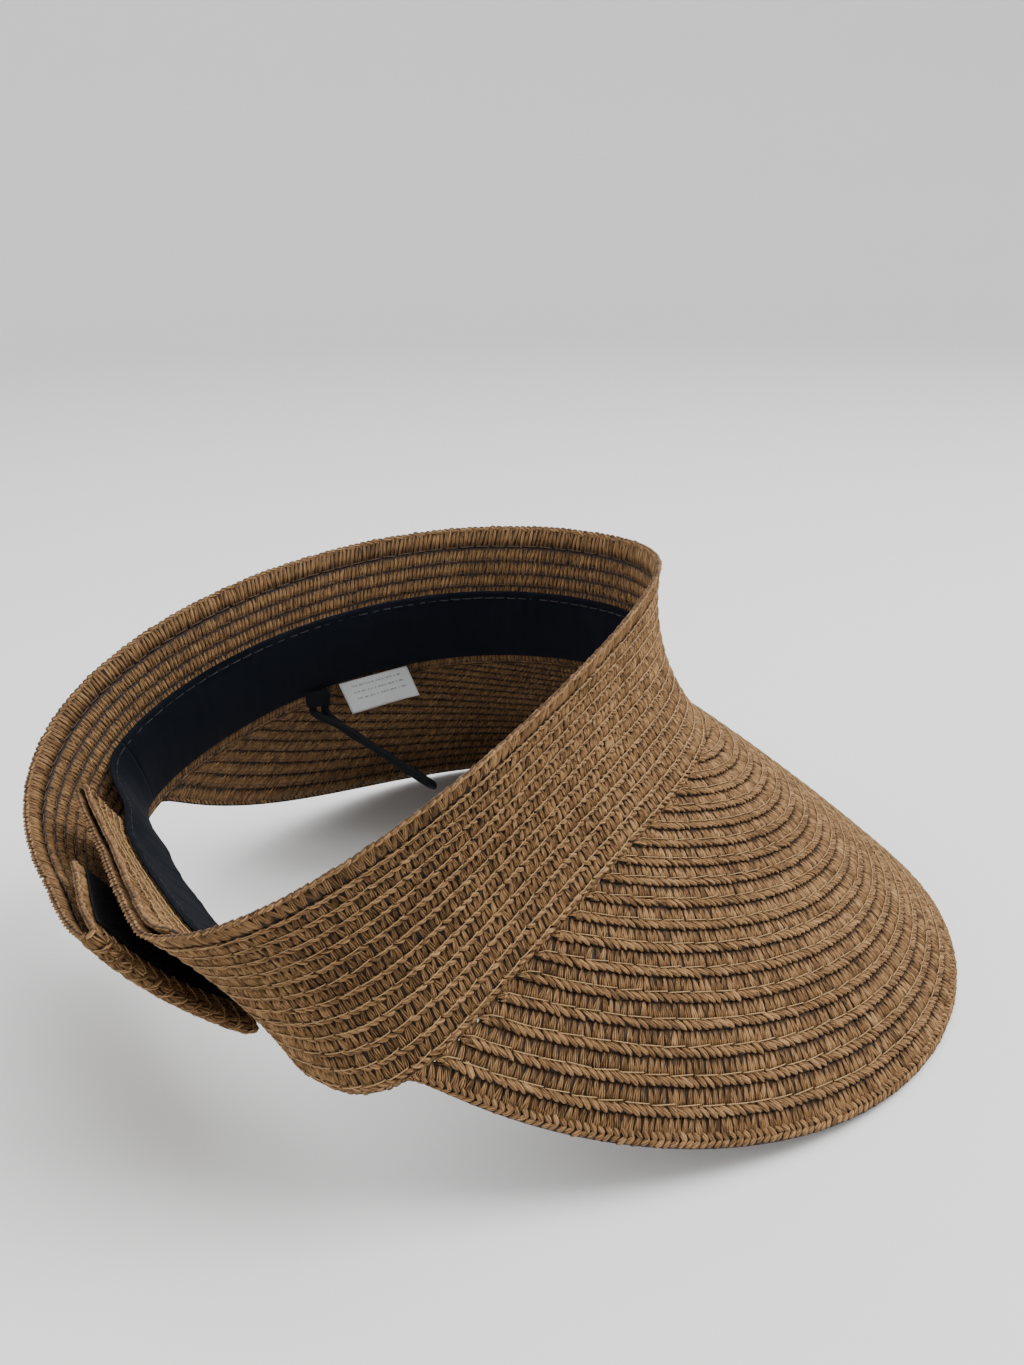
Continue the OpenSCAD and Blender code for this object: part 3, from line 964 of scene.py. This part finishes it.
STITCH = {"kind": "stitch", "width": 0.26, "thick": 0.30, "turn": 2.0, "jitter": 0.35,
          "material": 1}
UNDER_STITCH = {**STITCH, "width": -0.28, "thick": -0.30, "material": 3}
BILL_WEAVE = Weave((
    Row("tongue", 1.95, 4.4, 0.0, 92, 1.86, 5.0, 1.6, slope=-0.14, group=3, gap=0.08, fan=4),
    Row("rib", 1.5, 3.4, -0.55, 90, 1.5, 6.0, 1.0, jitter=0.8, light=0.45),
    Row("lobe", 2.25, 1.2, 0.42, -31, 1.55, 4.5, 1.45, slope=0.03, jitter=0.9),
    Row(pitch=7.4, t=2.5, h=1.10, long=6.9, **STITCH),
    Row(pitch=6.4, t=2.42, h=-1.05, long=5.6, **UNDER_STITCH)))
BILL_EDGE = Weave((
    Row("tongue", 1.95, 4.7, 0.0, 92, 1.86, 4.6, 1.6, slope=-0.14, group=3, gap=0.08, fan=4),
    Row("rib", 1.5, 3.9, -0.55, 90, 1.5, 5.0, 1.0, jitter=0.8, light=0.45),
    Row("lobe", 2.1, 2.35, 0.22, -42, 1.5, 3.3, 1.6, jitter=0.9),
    Row("lobe", 2.1, 1.0, 0.10, 34, 1.5, 3.0, 1.8, jitter=0.8)))
CROWN_LOWER = (
    Row("lobe", 2.4, 0.62, 0.5, -22, 1.2, 3.6, 1.15, jitter=1.0),
    Row(pitch=6.2, t=1.34, h=1.12, long=5.8, **STITCH),
    Row(pitch=5.6, t=1.32, h=-0.95, long=4.8, **UNDER_STITCH))
CROWN_WEAVE = Weave((
    Row("tongue", 1.72, 2.85, 0.1, 97, 1.6, 4.0, 1.7, slope=-0.08, group=3, gap=0.08, fan=8),
    Row("rib", 1.4, 2.4, -0.5, 90, 1.4, 4.3, 1.0, jitter=0.8, light=0.45),
    *CROWN_LOWER), core=((-0.1, -0.35), (0.5, -0.1), (2.2, -0.15), (4.9, -0.5)))
SEAM_WEAVE = Weave((
    *CROWN_WEAVE.rows, Row("lobe", 2.2, -0.35, -0.1, 12, 1.5, 3.2, 1.2)),
    core=((-1.3, -0.5), (0.5, -0.1), (2.2, -0.15), (4.9, -0.5)))
HEM_WEAVE = Weave((
    Row("lobe", 2.1, 6.35, 0.15, 16, 1.35, 3.1, 2.1, jitter=0.6),
    Row("hem", 1.5, 3.95, 0.18, 96, 1.45, 5.3, 1.5, jitter=1.1, fan=11),
    Row("rib", 1.45, 3.8, -0.5, 90, 1.45, 5.6, 1.0, jitter=0.8, light=0.45),
    *CROWN_LOWER), core=((0.2, 0.0), (3.2, -0.15), (6.4, -0.2)))


def finished(obj: bpy.types.Object, body: Body, slot: Slot, *nodes: str) -> bpy.types.Object:
    """Lets a piece ride on its body and puts it in the place of CAD nodes."""
    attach(obj, body.value)
    if nodes:
        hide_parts(*nodes)
    LOG.info("%s: %d faces on %s", obj.name, len(obj.data.polygons), body.value)
    return obj


@dataclass
class StrawBraid:
    """All that is sewn from braid: crown, bill and the two folded ends."""

    strands: StrandSet
    finishes: Sequence[bpy.types.Material]
    seed: int = 11
    near_start: float = -133.0
    near_tip: float = -205.0
    near_end: float = -141.0
    peel_angle: float = 178.0
    peel_gap: float = 0.5
    fold_angle: float = -160.0
    near_outer: tuple = ((-205, 16, 8.2), (-192, 17, 8.4), (-180, 16.4, 8.4), (-170, 14, 8.6),
                         (-160, 10.4, 8.4), (-153, 6.4, 5.4), (-146, 1.6, 1.4), (-133, 0, 0))
    near_inner: tuple = ((-205, 18.8, 10.8), (-192, 19.8, 11), (-180, 19.2, 11),
                         (-170, 16.9, 11.2), (-160, 13.4, 11), (-153, 9.4, 8.2),
                         (-146, 4.8, 4.4), (-141, 3.6, 3.6))
    near_turn: tuple = (-206, 17.4, 9.5)
    far_arm: tuple = ((-188, 9, 4), (-180, 7.8, 3.8), (-170, 5.6, 3.6), (-162, 3.6, 3.4))
    far_bend: tuple = ((-158.9, 1.1, 1.1), (-159.0, 2.3, 2.3))
    tip_rows: int = 14
    end_flare: float = 3.0
    end_bow: float = 4.0

    @staticmethod
    def layer(table: Sequence, start: float, end: float, number: int) -> Array:
        """Stations of one folded layer, from its table, between two angles."""
        rows = np.array(table, float)
        return between(np.linspace(start, end, number + 1), rows[:, 0], rows)

    @staticmethod
    def rounded(stations: Array, fine: int = 8) -> Array:
        """A smooth curve through stations, with fine rows to each stretch."""
        p = np.concatenate([stations[:1], stations, stations[-1:]])
        u = (np.arange(fine) / fine)[None, :, None]
        a, b, c, d = (p[k:len(p) - 3 + k, None, :] for k in range(4))
        curve = b + 0.5 * ((c - a) * u + (2 * a - 5 * b + 4 * c - d) * u ** 2
                           + (3 * b - a - 3 * c + d) * u ** 3)
        return np.concatenate([curve.reshape(-1, stations.shape[1]), stations[-1:]])

    def near_path(self) -> Array:
        """Stations of the inner end of the band: out to its tip and back inside."""
        return self.rounded(np.concatenate([
            self.layer(self.near_outer, self.near_start, self.near_tip, 20),
            [self.near_turn],
            self.layer(self.near_inner, self.near_tip, self.near_end, 18)]), 6)

    @classmethod
    def flared(cls, stations: Array) -> Array:
        """Stations of the loose outer end, standing out and bowed most along its fold."""
        fold = 360 + cls.fold_angle - cls.peel_angle
        loose = smooth((stations[:, 0] + 360 - cls.peel_angle) / fold)
        out = [stations[:, 0], stations[:, 1] - cls.end_flare * loose,
               stations[:, 2] - cls.end_flare / 3 * loose, cls.end_bow * loose]
        return np.stack(out, axis=-1)

    def far_path(self) -> Array:
        """Stations of the outer end of the band: on to its fold and back underneath."""
        start = self.peel_angle - 360
        flat = np.linspace(start, self.fold_angle, 9)
        return self.rounded(self.flared(np.concatenate([
            np.stack([flat, 0 * flat, 0 * flat], -1), self.far_bend,
            self.layer(self.far_arm, self.fold_angle - 2, start, 7)])), 6)

    def weave_course(self, i: int) -> Weave:
        """The weave of crown course i."""
        return {1: HEM_WEAVE, FORM.crown_courses: SEAM_WEAVE}.get(i, CROWN_WEAVE)

    def course(self, heap: MeshHeap, node: str) -> None:
        """Makes a woven course a piece, in the place of its CAD node."""
        piece = heap.piece(f"braid_{node}", self.finishes)
        finished(piece, Body.VISOR, Slot.STRAW, node)

    def crown(self) -> None:
        """Weaves the twelve courses of the crown band."""
        angles = np.linspace(self.near_start, self.peel_angle - self.peel_gap, 700)
        stations = stack(angles, 0 * angles, 0 * angles)
        for i in range(1, FORM.crown_courses + 1):
            heap, rng = MeshHeap(), np.random.default_rng(self.seed + i)
            track = BandTrack(stations, FORM.course_v(i - 1), FORM.course_v(i))
            self.weave_course(i).into(heap, track, self.strands, rng)
            self.course(heap, f"crown_course_{i:02d}")

    def bill(self) -> None:
        """Weaves the courses of the bill, from its outer edge in to the band."""
        plan = BillPlan()
        for i in range(1, FORM.bill_courses + 1):
            heap, rng = MeshHeap(), np.random.default_rng(self.seed + 40 + i)
            weave = BILL_EDGE if i == 1 else BILL_WEAVE
            weave.into(heap, BillTrack(plan, i), self.strands, rng)
            self.course(heap, f"bill_course_{i:02d}")

    def folded(self, name: str, stations: Array, body: Body, *nodes: str) -> None:
        """Weaves all twelve courses of one folded layer."""
        heap, rng = MeshHeap(), np.random.default_rng(self.seed + len(name))
        for i in range(1, FORM.crown_courses + 1):
            track = BandTrack(stations, FORM.course_v(i - 1), FORM.course_v(i))
            self.weave_course(i).into(heap, track, self.strands, rng)
        finished(heap.piece(name, self.finishes), body, Slot.STRAW, *nodes)

    def ends(self) -> None:
        """Weaves the two folded ends of the band."""
        near = self.near_path()[::-1]
        turn = int(near[:, 0].argmin()) - self.tip_rows
        self.folded("near_end_outer_layer", near[turn:], Body.VISOR, "near_end_fold")
        self.folded("near_end_inner_layer", near[:turn + 1], Body.VISOR)
        self.folded("far_end_folded", self.far_path(), Body.PEELING_END, "far_end_fold")


# --- cord, cloth and fittings


@dataclass
class KeeperLoop:
    """A loop of round elastic whose two ends are held in a tape tab."""

    elastic: bpy.types.Material
    loop_d: float = 2.8
    sides: int = 12
    route: tuple = (
        (79.7, 38.7, 71), (79.6, 38.5, 68.4), (77.9, 36.7, 66.5), (74.9, 33.9, 64.9),
        (70.7, 28.4, 61.2), (65.4, 23.1, 56.2), (59.7, 17.8, 51.5), (55.2, 13.9, 48.2),
        (51, 9.8, 44.7), (50.3, 6.7, 41.8), (52.5, 4.5, 39.1), (56.4, 4.2, 38.4),
        (59.8, 6.2, 39.9), (62.8, 10.8, 44.1), (65.3, 15.4, 48.5), (69.2, 21.5, 54.2),
        (73.5, 27.6, 59.4), (76.3, 30.9, 63.3), (78, 33.2, 66), (78.3, 34.4, 68.4),
        (78.3, 34.5, 71))
    face: tuple = (-0.25, 0.75, -0.61)

    def loop(self) -> bpy.types.Object:
        path = StrawBraid.rounded(np.array(self.route, float), 8)
        tangent = unit(np.gradient(path, axis=0))
        side = unit(np.cross(tangent, np.array(self.face)))
        up = np.cross(tangent, side)
        run = run_along(path)
        turn = np.linspace(0, 360, self.sides, endpoint=False)
        radius = self.loop_d / 2
        rings = (path[:, None] + radius * (side[:, None] * cosine(turn)[None, :, None]
                                           + up[:, None] * sine(turn)[None, :, None]))
        n, m = rings.shape[:2]
        k = np.arange(n * m).reshape(n, m)
        nxt = np.roll(k, -1, axis=1)
        quads = np.stack([k[:-1], nxt[:-1], nxt[1:], k[1:]], -1).reshape(-1, 4)
        heap = MeshHeap()
        across = np.abs(np.linspace(-1, 1, m, endpoint=False)) * radius * math.pi
        fibre = flat_grid(across[None], run[:, None])
        caps = np.concatenate([k[0][::-1], k[-1]])
        heap.add(rings.reshape(-1, 3), np.concatenate([quads.ravel(), caps]),
                 np.concatenate([np.full(len(quads), 4), [m, m]]), 0, fibre.reshape(-1, 3))
        obj = heap.piece("keeper_elastic", [self.elastic])
        finished(obj, Body.VISOR, Slot.ELASTIC, "keeper_loop")
        self.loop_d * MM
        return obj


@dataclass
class TabFrame:
    """Directions at a place of the sweatband's lower edge: along it, down and towards the head."""

    origin: Array
    run: Array
    down: Array
    head: Array

    def matrix(self) -> Matrix:
        """The frame as a placing matrix, in millimetres."""
        rows = np.stack([self.run, self.down, self.head, self.origin], axis=1)
        return Matrix([*rows.tolist(), [0, 0, 0, 1]])


def at_origin(obj: bpy.types.Object, place: Matrix) -> bpy.types.Object:
    """Keeps a piece's own coordinates as its fibre, and puts its place into its mesh."""
    mesh = obj.data
    co = np.zeros(len(mesh.vertices) * 3)
    mesh.vertices.foreach_get("co", co)
    mesh.attributes.new("fibre", "FLOAT_VECTOR", "POINT").data.foreach_set("vector", co)
    mesh.transform(Matrix.Scale(MM, 4) @ place)
    mesh.update()
    return obj


@dataclass
class Sweatband:
    """A folded band of dark cloth inside the crown, with its care label and elastic's tab."""

    cloth: bpy.types.Material
    thread: bpy.types.Material
    satin: bpy.types.Material
    tape: bpy.types.Material
    strands: StrandSet
    drop: float = 20.6
    width: float = 28.5
    thick: float = 1.2
    gap: float = 0.3
    label_angle: float = 61.5
    label_w: float = 26.0
    label_l: float = 13.0
    label_t: float = 0.5
    label_lean: float = 0.16
    label_hem: float = 0.03
    tab_angle: float = 72.5
    tab_w: float = 9.0
    tab_l: float = 5.2
    tab_t: float = 3.4
    tab_gap: float = 0.9
    tuck: float = 0.6
    seam_in: float = 2.2

    @property
    def depth(self) -> float:
        """Depth of the cloth's middle behind the middle of the braid."""
        return FORM.half_t + self.gap + self.thick / 2

    def stations(self) -> Array:
        """Stations of the band: it lies on the braid, and inside the folded end at the back."""
        a = np.linspace(-238, 122, 721)
        inner = np.array(StrawBraid.near_inner, float)
        share = smooth((a + 236) / 28) * smooth((-124 - a) / 14)
        depths = self.depth + share[:, None] * (between(a, inner[:, 0], inner[:, 1:]) + self.gap)
        return np.concatenate([a[:, None], depths], axis=1)

    def edge_frame(self, angle: float, level: bool) -> TabFrame:
        """Directions at the sweatband's lower edge.

        Args:
            angle: Angle round the crown.
            level: Whether the run is kept level, so that down is straight down.

        Returns:
            The frame, with its origin on the middle of the edge.
        """
        v = (self.drop + self.width) / FORM.band_h
        points = FORM.seat(FORM.crown(np.array([angle, angle - 4, angle + 4]), v, self.depth))
        run = points[2] - points[1]
        run = unit(np.array([run[0], run[1], 0.0]) if level else run)
        down = unit(np.array([0, 0, -1.0]) + run * run[2])
        return TabFrame(points[0], run, down, np.cross(run, down))

    def band(self) -> None:
        """Makes the cloth, softly wrinkled, with its sewing line."""
        top, foot = self.drop / FORM.band_h, (self.drop + self.width) / FORM.band_h
        track = BandTrack(self.stations(), top, foot)
        half, rim = self.width / 2, self.thick / 2
        s = np.linspace(0, track.length, 560)[:, None]
        side = np.concatenate([[0.02, 0.15, 0.42, 0.8], np.linspace(1.6, half, 9)])
        t = np.concatenate([side, (2 * half - side[:-1])[::-1]])[None]
        edge = np.clip(np.minimum(t, 2 * half - t) / rim, 0, 1)
        puff = rim * np.sqrt(np.maximum(0.03, 1 - (1 - edge) ** 2))
        phase = np.random.default_rng(5).random(12) * 2 * math.pi
        ripple = sum(np.sin(s * f + t * g + p) * size for f, g, p, size in zip(
            (0.05, 0.085, 0.13, 0.21, 0.34, 0.55, 0.9, 1.3),
            (0.06, -0.13, 0.22, -0.1, 0.16, -0.28, 0.1, 0.0),
            phase, (0.16, 0.16, 0.14, 0.12, 0.09, 0.06, 0.05, 0.035)))
        pucker = np.sin(s * 1.15 + phase[9]) * np.sin(s * 0.31 + phase[10]) * 0.16
        pucker = pucker * np.exp(-np.maximum(0, self.width - 2.5 - t) / 3.5)
        soft = (ripple + pucker) * np.minimum(1, edge)
        ends = np.minimum(1, np.minimum(s, track.length - s) / 3)
        outer = track.place(s + 0 * t, t + 0 * s, puff + np.minimum(0, soft) * ends * 0.4)
        inner = track.place(s + 0 * t, t + 0 * s, -puff + soft * ends)
        heap = MeshHeap()
        heap.shell(outer, inner, flat_grid(s, t))
        rng = np.random.default_rng(7)
        row = Row("stitch", 4.2, self.width - self.seam_in, -rim - 0.12, 0, -0.4, 3.6, -0.3,
                  jitter=0.3, material=1)
        heap.lay(row.laid(self.strands, track.length, rng), track, rng)
        obj = finished(heap.piece("sweatband_cloth", [self.cloth, self.thread]), Body.VISOR,
                       Slot.CLOTH, "sweatband")
        self.width * MM

    def label(self) -> None:
        """Makes the satin care label that hangs from the band, folded once."""
        place = self.edge_frame(self.label_angle, False)
        x = np.linspace(-1, 1, 27)[:, None] * self.label_w / 2
        y = np.linspace(self.label_hem, 1, 15)[None] * self.label_l
        share = y / self.label_l
        bow = 0.5 * np.sin(x * 0.19 + 0.6) * share + 1.1 * share ** 3 * (x / 13) ** 2
        grids = []
        for side in (0.5, -0.5):
            thin = self.label_t * side * (0.35 + 0.5 * np.sqrt(np.clip(1 - share ** 8, 0, 1)))
            grids.append(place.origin + (x - self.label_lean * y)[..., None] * place.run
                         + (y + 0.6)[..., None] * place.down + (bow + thin)[..., None] * place.head)
        heap = MeshHeap()
        heap.shell(*grids, flat_grid(x, y))
        obj = finished(heap.piece("care_label_satin", [self.satin]), Body.LABEL, Slot.SATIN,
                       "care_label")
        self.label_w * MM
        self.label_l * MM

    def tab(self) -> None:
        """Models the folded tape that holds the elastic's ends."""
        place = self.edge_frame(self.tab_angle, True)
        shift = FORM.half_t + self.tab_t / 2 - self.depth + self.tab_gap
        long = self.tab_l + self.tuck
        place.origin = place.origin + place.head * shift + place.down * (long / 2 - self.tuck)
        obj = began("keeper_tab_tape", bpy.ops.mesh.primitive_cube_add, size=1)
        scaled_by((self.tab_w, long, self.tab_t))
        pick(obj, lambda co: co.y > 0)
        scaled_by((0.97, 1, 1.04), (0, long / 2, 0))
        bpy.ops.mesh.select_all(action="SELECT")
        bpy.ops.mesh.bevel(offset=0.7, segments=3, affect="EDGES")
        bpy.ops.mesh.subdivide(number_cuts=3, smoothness=0.0)
        for side in (-1, 1):
            pick(obj, lambda co, side=side: co.z * side > self.tab_t / 2 - 0.05
                 and abs(co.y + 0.4) < 0.6 and abs(co.x) < self.tab_w / 2 - 1)
            bpy.ops.transform.translate(value=(0, 0, -0.35 * side))
        bpy.ops.object.mode_set(mode="OBJECT")
        bpy.ops.object.shade_smooth()
        obj.data.materials.append(self.tape)
        finished(at_origin(obj, place.matrix()), Body.VISOR, Slot.TAPE, "keeper_tab")


@dataclass
class TouchFastener:
    """The two pads of the closure: fine hooks on one, a mat of soft loops on the other."""

    hooks: bpy.types.Material
    mat: bpy.types.Material
    base_t: float = 0.42
    pile: float = 0.42
    share: float = 0.86

    def pad(self, name: str, stations: Array, finish: bpy.types.Material, body: Body,
            slot: Slot, node: str, arch: StrandShape, spread: float, seed: int) -> None:
        """Makes one pad with its pile.

        Args:
            name: Name of the piece.
            stations: The folded layer that it is sewn to.
            finish: Its material.
            body: The body that it rides on.
            slot: Its material slot; not used.
            node: The CAD node that it stands for.
            arch: The modelled hook or loop.
            spread: Distance between the rows of the pile.
            seed: Seed of the pile's small differences.
        """
        track = BandTrack(stations, (1 - self.share) / 2, (1 + self.share) / 2)
        s = np.linspace(0, track.length, 40)[:, None]
        t = np.linspace(0, track.width, 40)[None]
        low = FORM.half_t + 0.18
        high = low + self.base_t
        heap, rng = MeshHeap(), np.random.default_rng(seed)
        grids = [track.place(s + 0 * t, t + 0 * s, h + 0 * (s + t)) for h in (high, low)]
        heap.shell(*grids, flat_grid(s, t))
        rows = np.arange(0.6, track.width - 0.4, spread)
        cols = np.arange(0.6, track.length - 0.4, spread)
        ss, tt = (grid.ravel() for grid in np.meshgrid(cols, rows))
        n = len(ss)
        shake = rng.normal(0, spread * 0.16, (2, n))
        size = stack(1.0, 1.0, rng.uniform(0.7, 1.15, n))
        turn = rng.uniform(0, 360, n)
        laid = Laid(arch, ss + shake[0], tt + shake[1], np.full(n, high - 0.03), turn, size,
                    np.zeros(n), rng.random(n))
        heap.lay(laid, track, rng)
        finished(heap.piece(name, [finish]), body, slot, node)

    def both(self) -> None:
        """Makes the two pads."""
        hook = StrandShape.drawn("hook", 4, [
            (-0.3, 0.22, 0.22, 0.0), (-0.26, 0.2, 0.2, self.pile * 0.7),
            (0.0, 0.18, 0.18, self.pile), (0.24, 0.12, 0.12, self.pile * 0.6)])
        loop = StrandShape.drawn("pile_loop", 4, [
            (-0.55, 0.16, 0.16, 0.0), (-0.4, 0.15, 0.15, self.pile * 0.7),
            (0.0, 0.15, 0.15, self.pile), (0.4, 0.15, 0.15, self.pile * 0.7),
            (0.55, 0.16, 0.16, 0.0)])
        arm = StrawBraid.flared(StrawBraid.layer(StrawBraid.far_arm, -164, -181, 24))
        outer = StrawBraid.layer(StrawBraid.near_outer, -181, -161, 24)
        self.pad("hook_tape", arm, self.hooks, Body.PEELING_END, Slot.HOOK, "hook_pad", hook,
                 1.05, 21)
        self.pad("loop_tape", outer, self.mat, Body.VISOR, Slot.LOOP, "loop_pad", loop,
                 1.05, 22)


@dataclass
class Studio:
    """Camera, floor and soft light."""

    place: tuple = (-0.3119, 0.2040, 0.2387)
    forward: tuple = (0.7842, -0.5070, -0.3577)
    roll: float = -1.2
    focal_share: float = 1221.57 / 1365
    sensor: float = 36.0
    floor_radius: float = 2.2
    floor_rise: tuple = ((0.25, 0.03), (0.22, 0.10), (0.16, 0.18), (0.10, 0.25), (0.03, 0.34),
                         (0.0, 2.6))
    aim: tuple = (0, 0, 0.06)
    room_light: float = 1.1
    lamps: tuple = (("key", (-0.65, -0.85, 1.35), 0.9, 25), ("top", (-0.1, -0.1, 1.8), 1.4, 16),
                    ("back", (0.5, 1.3, 1.2), 1.4, 7))

    def camera(self) -> None:
        """Places the camera."""
        look = Vector(self.forward).normalized()
        right = look.cross(Vector((0, 0, 1))).normalized()
        up = right.cross(look)
        c, s = math.cos(math.radians(self.roll)), math.sin(math.radians(self.roll))
        right, up = right * c + up * s, up * c - right * s
        data = bpy.data.cameras.new("camera")
        data.sensor_fit, data.sensor_height = "VERTICAL", self.sensor
        data.lens = self.sensor * self.focal_share
        data.clip_start = 0.01
        obj = bpy.data.objects.new("camera", data)
        turn = Matrix((right, up, -look)).transposed().to_4x4()
        obj.matrix_world = Matrix.Translation(self.place) @ turn
        bpy.context.scene.collection.objects.link(obj)
        bpy.context.scene.camera = obj

    def floor(self) -> None:
        """Makes the floor, which curves up into a backdrop all round."""
        sh = Shader("studio_paper")
        soft = sh.noise(sh.node("ShaderNodeTexCoord").outputs["Object"], 2.0, 2)
        colour = sh.mix(soft, (0.83, 0.83, 0.83), (0.84, 0.84, 0.84))
        paper = sh.surface(Base_Color=colour, Roughness=0.95, Specular_IOR_Level=0.1)
        radius = self.floor_radius
        obj = began("floor", bpy.ops.mesh.primitive_circle_add, vertices=96, radius=radius,
                    fill_type="NGON")
        for out, up in self.floor_rise:
            bpy.ops.mesh.extrude_region_move(TRANSFORM_OT_translate={"value": (0, 0, up)})
            grow = (radius + out) / radius
            scaled_by((grow, grow, 1))
            radius += out
        bpy.ops.mesh.delete(type="ONLY_FACE")
        bpy.ops.mesh.select_all(action="SELECT")
        bpy.ops.mesh.normals_make_consistent(inside=True)
        bpy.ops.object.mode_set(mode="OBJECT")
        bpy.ops.object.shade_smooth_by_angle(angle=math.radians(40))
        obj.data.materials.append(paper)

    def lamp(self, name: str, place: tuple, size: float, power: float) -> None:
        """Adds a square soft light that looks at the visor."""
        data = bpy.data.lights.new(name, "AREA")
        data.size, data.energy = size, power
        obj = bpy.data.objects.new(name, data)
        turn = (Vector(self.aim) - Vector(place)).to_track_quat("-Z", "Y")
        obj.matrix_world = Matrix.Translation(place) @ turn.to_matrix().to_4x4()
        bpy.context.scene.collection.objects.link(obj)

    def lights(self) -> None:
        """Hangs the soft lights and sets the even light of the room."""
        world = bpy.data.worlds.new("room")
        bpy.context.scene.world = world
        world.use_nodes = True
        sockets = world.node_tree.nodes["Background"].inputs
        sockets[0].default_value, sockets[1].default_value = (1, 1, 1, 1), self.room_light
        for lamp in self.lamps:
            self.lamp(*lamp)


def main() -> None:
    """Builds the visor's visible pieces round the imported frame."""
    logging.basicConfig(level=logging.INFO, format="%(name)s: %(message)s")
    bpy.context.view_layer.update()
    studio = Studio()
    studio.camera()
    thread = ThreadFinish("golden_thread", (0.47, 0.31, 0.14), (0.24, 0.145, 0.06)).make()
    brown = ThreadFinish("brown_thread", (0.10, 0.055, 0.028), (0.05, 0.026, 0.014)).make()
    black = ThreadFinish("black_thread", (0.010, 0.011, 0.014), (0.004, 0.004, 0.005)).make()
    tape = ClothFinish("black_tape", (0.0020, 0.0024, 0.0036), (0.006, 0.007, 0.010)).make()
    KeeperLoop(ElasticFinish("round_elastic").make()).loop()
    studio.floor()
    studio.lights()
    strands = StrandSet.modelled()
    # the third finish is the inner straw, coloured near black as painted shade
    braid = StrawBraid(strands, [StrawFinish("paper_straw").make(), thread,
                                 PaintedShadeCoreFinish("inner_straw_painted_shade").make(), brown])
    braid.crown()
    braid.bill()
    braid.ends()
    navy = ClothFinish("navy_cloth", (0.0016, 0.0024, 0.0048), (0.0048, 0.0070, 0.0125)).make()
    sweatband = Sweatband(navy, black, SatinFinish("label_satin").make(), tape, strands)
    sweatband.band()
    sweatband.label()
    sweatband.tab()
    hooks = ClothFinish("hook_nylon", (0.0018, 0.0018, 0.0022), (0.006, 0.006, 0.007), rough=0.5)
    mat = ClothFinish("loop_nylon", (0.0018, 0.0018, 0.0022), (0.007, 0.007, 0.008), rough=0.8)
    TouchFastener(hooks.make(), mat.make()).both()


if __name__ == "__main__":
    main()
